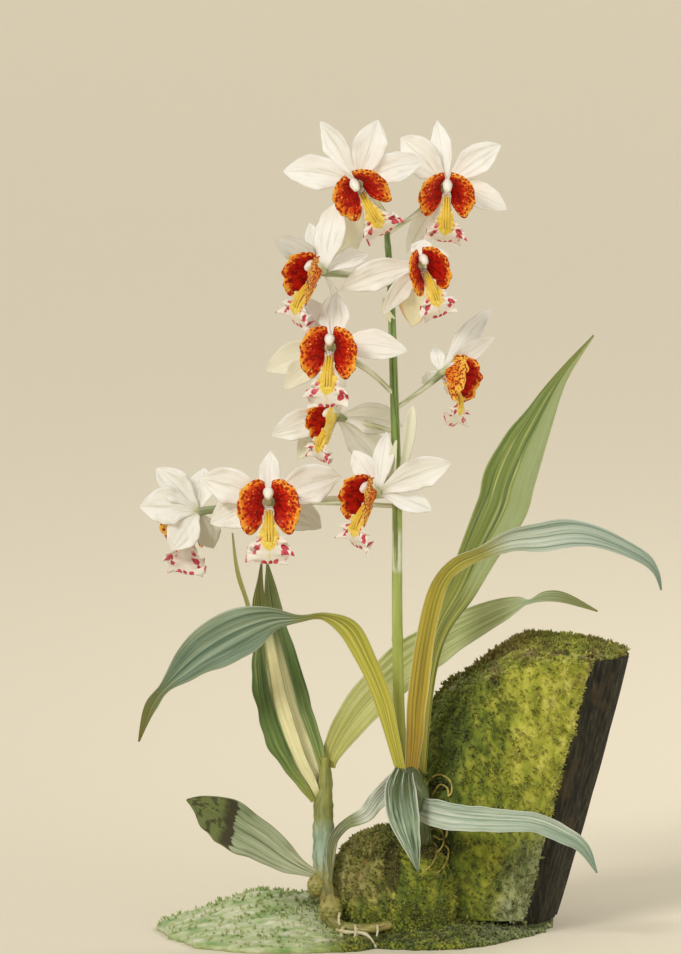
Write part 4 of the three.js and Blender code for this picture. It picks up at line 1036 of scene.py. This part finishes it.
def petals(number, tepals, heart, bow, joins, size, where):
    shape = Shape()
    for k, tepal in enumerate(tepals):
        phase = 1.7 * number + 0.9 * k
        blade(shape, tepal_rows(heart, tepal), steps=30, strips=18, thick=0.55, fold=0.16,
              wave=(0.12, 2.2, phase), cup=0.08, pleats=5, pleat=0.012, tone=(0.37 * phase) % 0.85,
              slot=PETAL_TINTS.get((number, k), 0))
    rod(shape, [[x, y, z, r * size] for x, y, z, r in COLUMN], 24, 20, where, slot=len(PETALS))
    rod(shape, [[*heart, 2.4], [*bow, 1.6], [*joins, 1.3]], 30, 12, slot=len(PETALS) + 1)
    return shape


def side_lobes(number, yaw, spread, where):
    ahead = 0.75 * math.sqrt(1 - spread * spread)
    t = np.linspace(0, 1, LOBE_TURNS + 1)
    angle, reach, forward = along(LOBE, t).T
    a = np.radians(angle)[:, None]
    r = np.linspace(0, 1, LOBE_STRIPS + 1)[None, :]
    ruffle = np.sin(9.5 * a + number) + 0.6 * np.sin(17 * a + 2 * number)
    reach = reach[:, None] * (1 + 0.02 * ruffle)
    out = LIP_THROAT + (reach - LIP_THROAT) * r
    z = 2 + (forward[:, None] - 2) * r ** 0.75 + 0.6 * ruffle * r ** 4 - 2.2 * r ** 6
    x, y = np.sin(a) * out, -np.cos(a) * out
    middle = where(np.stack([x * spread, y, z + np.abs(x) * ahead], -1))
    normal = unit(np.cross(np.gradient(middle, axis=0), np.gradient(middle, axis=1)))
    if np.mean(normal @ (where([0, 0, 1]) - where([0, 0, 0]))) < 0:
        normal = -normal
    deep = np.where(np.sign(a) == np.sign(yaw), 1.0, 0.0) if abs(yaw) > 10 else 0.0
    if number == YELLOW_LOBE:
        deep = np.where(a > 0, -1.0, deep)
    shape = Shape()
    sheet(shape, middle + 0.22 * normal, middle - 0.22 * normal, pairs(t, r[0]), tone=deep)
    return shape


def front_lobe(number, size, where):
    rows = [[x, y, z, half * size, roll] for x, y, z, half, roll in TONGUE]
    face = unit(where([0, 0.35, 1]) - where([0, 0, 0]))
    shape = Shape()
    blade(shape, rows, steps=60, strips=34, thick=0.5, fold=-0.1, wave=(0.3, 4.2, number), cup=-0.04,
          face=face, where=where)
    for side, lift in ((-1, 0.1), (0, 0.3), (1, 0.1)):
        ridge = [[x + 1.5 * side, y, z + lift, 0.5 * size * r] for x, y, z, r in RIDGE]
        rod(shape, ridge, 18, 10, where, tone=1.0)
    return shape


for number, (heart, bow, joins, lip, tepals) in enumerate(FLOWERS, 1):
    yaw, size, spread = lip[1], lip[3], lip[4]
    where = flower_frame(heart, lip)
    label = f"flower_{number:02d}_"
    shape = petals(number, tepals, heart, bow, joins, size, where)
    shape.build(label + "tepals", [*PETALS, COLUMN_SKIN, STALK], [label + "petals"], "petal")
    side_lobes(number, yaw, spread, where).build(label + "lobes", [LIP], [label + "lip"], "lip")
    front_lobe(number, size, where).build(label + "front", [TONGUE_SKIN], [label + "tongue"], "tongue")


# Stems and roots.
shape = Shape()
rod(shape, SCAPE, 160, 22, swell=lambda t: 1 + 0.12 * sum(np.exp(-((t - j) / 0.006) ** 2) for j in JOINTS))
for rows in BRACTS:
    blade(shape, rows, steps=22, strips=12, thick=0.5, fold=0.35, wave=(0.05, 2, 1.0), cup=0.1, tone=1.0)
shape.build("flower_stem", [STEM], ["scape"], "stem")

shape = Shape()
rod(shape, GROWTH_A, 60, 22, swell=lambda t: 1 + 0.05 * np.sin(38 * t) + 0.03 * np.sin(91 * t))
rod(shape, RHIZOME, 50, 16, slot=1, swell=lambda t: 1 + 0.14 * np.abs(np.sin(22 * t)))
for (across, up, away), wide, tall in BULBS:
    shares = np.linspace(-0.98, 0.98, 9)
    ball = [[across, up + tall * s, away, wide * math.sqrt(1 - s * s)] for s in shares]
    rod(shape, ball, 30, 20, slot=1, swell=lambda t: 1 + 0.03 * np.sin(40 * t))
shape.build("growth_a_stem", [HUSK, BULB], ["growth_a"], "rhizome")

shape = Shape()
rod(shape, GROWTH_B, 40, 26, swell=lambda t: 1 + 0.03 * np.sin(30 * t))
shape.build("growth_b_crown", [CROWN], ["growth_b"], "sheath")

shape = Shape()
for rows in ROOTS:
    rod(shape, rows, 26, 10, swell=lambda t: 1 + 0.08 * np.sin(40 * t))
for rows in FINE_ROOTS:
    rod(shape, rows, 16, 8)
shape.build("white_roots", [ROOT_SKIN], ["roots"], "root")


# Pot and soil.
def leaned(p):
    """Points of the upright pot where the leaning pot with its fallen shoulder has them."""
    fall = smoothstep(-p[..., 0], SHOULDER["from"], SHOULDER["to"])
    share = np.clip(p[..., 2] / POT["height"], 0, 1) ** 3
    p = np.stack([p[..., 0], p[..., 1], p[..., 2] - SHOULDER["drop"] * fall * share], -1)
    basis = np.array([
        [math.cos(POT_TIP), 0, math.sin(POT_LEAN)], [0, 1, 0], [-math.sin(POT_TIP), 0, math.cos(POT_LEAN)],
    ])
    return p @ basis.T + POT_PLACE


def pot_radius(z):
    return POT["foot"] + (POT["rim"] - POT["foot"]) * z / POT["height"]


def column_of(values):
    return np.array(values, float)[:, None]


def ring_points(radius, z):
    """Rings round the upright axis: one row of points for each radius and height."""
    return np.stack(np.broadcast_arrays(radius * np.cos(ANGLES), radius * np.sin(ANGLES), z), -1)


def ribs(a, z):
    coarse = 0.8 * np.sin(7 * a + 0.03 * z)
    return coarse + 0.35 * np.sin(23 * a + 0.05 * z) + 0.22 * np.sin(61 * a - 0.04 * z)


height, wall = POT["height"], POT["wall"]
z = np.linspace(0, height, 50)[:, None]
outer = ring_points(pot_radius(z) + ribs(ANGLES, z) - 0.4, z)
inner_z = np.linspace(height, wall, 40)[:, None]
inner = ring_points(pot_radius(inner_z) - wall, inner_z)
under = ring_points(column_of([1]), 0)
floor = ring_points(column_of([1]), wall)
shape = Shape()
shape.add_rings(leaned(np.concatenate([under, outer, inner, floor])))
shape.build("pot_wall", [BARK], ["pot"], "bark")

gap = 0.5
level = height - 0.4
z = np.linspace(wall + gap, level, 30)[:, None]
fill = ring_points(pot_radius(z) - wall - gap, z)
cap = ring_points(column_of([30, 18, 6, 0.5]), level)
floor = ring_points(column_of([0.5]), wall + gap)
shape = Shape()
shape.add_rings(leaned(np.concatenate([floor, fill, cap])))
shape.build("pot_fill", [EARTH], ["soil"], "soil")


# Moss on the pot.
def lumps(x, y, z):
    wide = np.sin(0.21 * x + 1.3 * np.sin(0.09 * z)) * np.cos(0.19 * y + 0.07 * z)
    fine = np.sin(0.47 * x + 0.31 * z + 2) * np.sin(0.43 * y - 0.37 * z + 1)
    return 0.6 * wide + 0.4 * fine


def moss_cover(a):
    degrees = np.degrees(a) % 360
    enter = smoothstep(degrees, MOSS_FROM - MOSS_FADE, MOSS_FROM + MOSS_FADE)
    return enter * (1 - smoothstep(degrees, MOSS_TO - MOSS_FADE, MOSS_TO + MOSS_FADE))


def moss_stand(a, z):
    """How far the moss stands out from the pot; below 0 where the pot is bare."""
    cover = moss_cover(a)
    left = np.maximum(0, -np.cos(a)) ** 1.4
    swell = smoothstep(height - z, -6, 46)
    rough = 1.6 * lumps(60 * np.cos(a), 60 * np.sin(a), z)
    return cover * (MOSS_DEPTH + 14 * left * swell + rough) - 2.5 * (1 - cover)


def normals_of(points):
    padded = np.concatenate([points[:, -1:], points, points[:, :1]], 1)
    return unit(np.cross(np.gradient(padded, axis=1)[:, 1:-1], np.gradient(points, axis=0)))


def lumpy(points, normal, wide, fine, seed, sink=0.5):
    """The points moved out and in by wide and fine lumps."""
    bumps = 0.9 * noise(points, wide, seed) + 0.5 * noise(points, fine, seed + 1)
    return points + normal * (bumps - sink)[..., None]


z = np.linspace(3, height, 90)[:, None]
body = ring_points(pot_radius(z) + moss_stand(ANGLES, z), z)
share = np.linspace(1, 0.02, 24)[:, None]
edge = pot_radius(height) + moss_stand(ANGLES, height)
crown = ring_points(edge * share, height + 1.0 + 4.4 * (1 - share ** 4))
mass = leaned(np.concatenate([body, crown]))
normal = normals_of(mass)
mass = lumpy(mass, normal, 0.42, 1.1, 1, sink=0.6)
shape = Shape()
shape.add_rings(mass)
mass, normal = mass.reshape(-1, 3), normal.reshape(-1, 3)
cover = np.concatenate([np.broadcast_to(moss_cover(ANGLES), body.shape[:2]), np.ones(crown.shape[:2])])
chosen = cover.ravel() > 0.35 + 0.25 * RNG.random(cover.size)
tufts(shape, mass[chosen], normal[chosen], count=6500, length=2.3, width=TUFT_WIDTH)
shape.build("pot_moss_coat", [MOSS], ["pot_moss"], "moss")


# The bank: a low patch and the round lobe, each with its own shoots.
def bank_height(x, y, r):
    swell = BANK_RIM + (BANK_TOP - BANK_RIM) * (1 - r * r)
    hummock = HUMMOCK["height"] * np.exp(-((x - HUMMOCK["x"]) ** 2 + (y - HUMMOCK["y"]) ** 2) / 900)
    return swell + hummock + 1.6 * lumps(x, y, 0) * (1 - r * r)


share = np.linspace(0.01, 1, 60)[:, None]
reach = np.interp(np.degrees(ANGLES).ravel(), np.arange(13) * 30, BANK_REACH + BANK_REACH[:1])[None, :]
rim = ring_points(reach, 0)
ragged = noise(rim, 0.11) + noise(rim, 0.37)
out = (reach + 3 * np.sin(5 * ANGLES) - 4.4 + 2.2 * ragged) * share
x, y = out * np.cos(ANGLES), out * np.sin(ANGLES)
top = np.stack([x + BANK_X, y + BANK_Y, bank_height(x, y, share)], -1)
skirt = top[-1:] * (1, 1, 0)
out_of_top = -normals_of(top)
out_of_top = np.where(out_of_top[..., 2:] < 0, -out_of_top, out_of_top)
top = lumpy(top, out_of_top, 0.3, 0.9, 4)
shape = Shape()
shape.add_rings(np.concatenate([top, skirt, skirt * 0.02]), flip=True)

z = np.concatenate([np.linspace(0, 47, 45), np.linspace(47.5, 60.3, 36)])[:, None]
rows = np.array(LOBE_ROWS, float)
radius = np.interp(z.ravel(), rows[:, 1], rows[:, 0])[:, None]
stand = 1.5 * lumps(40 * np.cos(ANGLES), 40 * np.sin(ANGLES), z) * (radius / 38)
lobe = ring_points(np.maximum(radius + stand, 0.3), z) + np.array(LOBE_PLACE)
out_of_lobe = normals_of(lobe)
lobe = lumpy(lobe, out_of_lobe, 0.4, 1.1, 6)
shape.add_rings(lobe)
spots = np.concatenate([top[::2, ::2].reshape(-1, 3), lobe[14::2, ::2].reshape(-1, 3)])
ups = np.concatenate([out_of_top[::2, ::2].reshape(-1, 3), out_of_lobe[14::2, ::2].reshape(-1, 3)])
tufts(shape, spots, ups, count=7000, length=2.2, width=TUFT_WIDTH)
shape.build("moss_bank_coat", [BANK_MOSS], ["moss_bank"], "moss")

# Thin yellow roots over the moss.
SKIN = np.concatenate([mass, lobe.reshape(-1, 3)])
SKIN_OUT = np.concatenate([normal, out_of_lobe.reshape(-1, 3)])
SKIN_UP = SKIN[:, 2] * math.cos(EYE_LIFT) + SKIN[:, 1] * math.sin(EYE_LIFT)


def on_moss(across, up):
    """The moss point that the front view shows there, just above the surface."""
    apart = np.hypot(SKIN[:, 0] - across, SKIN_UP - up)
    near = np.flatnonzero(apart < max(1.2, apart.min() + 0.01))
    k = near[np.argmin(SKIN[near, 1])]
    return list(SKIN[k] + SKIN_OUT[k] * 0.6)


shape = Shape()
for run in MOSS_ROOTS:
    rod(shape, [on_moss(*spot) + [MOSS_ROOT_RADIUS] for spot in run], 40, 8, where=np.asarray)
shape.build("moss_roots", [ROOT_LOOP], [], "root")


# Floor, light and camera.
def studio():
    """A wide round pale floor whose far rim curves up, so that every side has the same backdrop."""
    profile = [(0.01, 0), (1, 0), (4, 0), (FLOOR_FLAT, 0)]
    for a in np.linspace(0.06, math.pi / 2, 24):
        profile.append((FLOOR_FLAT + FLOOR_CURVE * math.sin(a), FLOOR_CURVE - FLOOR_CURVE * math.cos(a)))
    turn = np.linspace(0, 2 * np.pi, 96, endpoint=False)
    points = [(r * math.cos(a), r * math.sin(a), z) for r, z in profile for a in turn]
    mesh = bpy.data.meshes.new("studio_floor")
    mesh.from_pydata(points, [], grid_faces(len(profile), len(turn), wrap=True).tolist())
    mesh.materials.append(Graph("studio_paper", "eee5d0").finish(0.9, shine=0.1))
    mesh.polygons.foreach_set("use_smooth", [True] * len(mesh.polygons))
    in_scene("studio_floor", mesh)


def lamp(name, at, target, size, watts, colour):
    data = bpy.data.lights.new(name, "AREA")
    data.shape = "DISK"
    data.size = size
    data.energy = watts
    data.color = colour
    made = in_scene(name, data)
    made.location = at
    aim(made, Vector(target) - Vector(at))


studio()
sun = bpy.data.lights.new("key", "SUN")
sun.energy = 1.75
sun.angle = math.radians(18)
sun.color = (1.0, 0.98, 0.93)
aim(in_scene("key", sun), (1.1, 1.5, -1.26))
lamp("fill", at=(1.5, -1.6, 0.8), target=(0, 0, 0.22), size=1.4, watts=7, colour=(0.95, 0.97, 1.0))
lamp("rim", at=(0.9, 0.75, 1.3), target=(0, 0, 0.3), size=0.6, watts=7, colour=(1.0, 0.98, 0.94))
world = bpy.data.worlds.new("studio")
bpy.context.scene.world = world
world.use_nodes = True
background = world.node_tree.nodes["Background"]
background.inputs["Color"].default_value = (1.0, 0.98, 0.94, 1)
background.inputs["Strength"].default_value = 0.42
bpy.context.scene.view_settings.view_transform = "Standard"

target = (place(FRAME_MIDDLE) - PLAN_CENTRE) * MM
distance = FRAME_TALL * MM * LENS / SENSOR
camera_data = bpy.data.cameras.new("camera")
camera_data.lens = LENS
camera_data.sensor_width = SENSOR
camera_data.clip_end = 30.0
camera = in_scene("camera", camera_data)
camera.location = Vector(target + TOWARDS_EYE * distance)
aim(camera, Vector(target) - camera.location)
bpy.context.scene.camera = camera
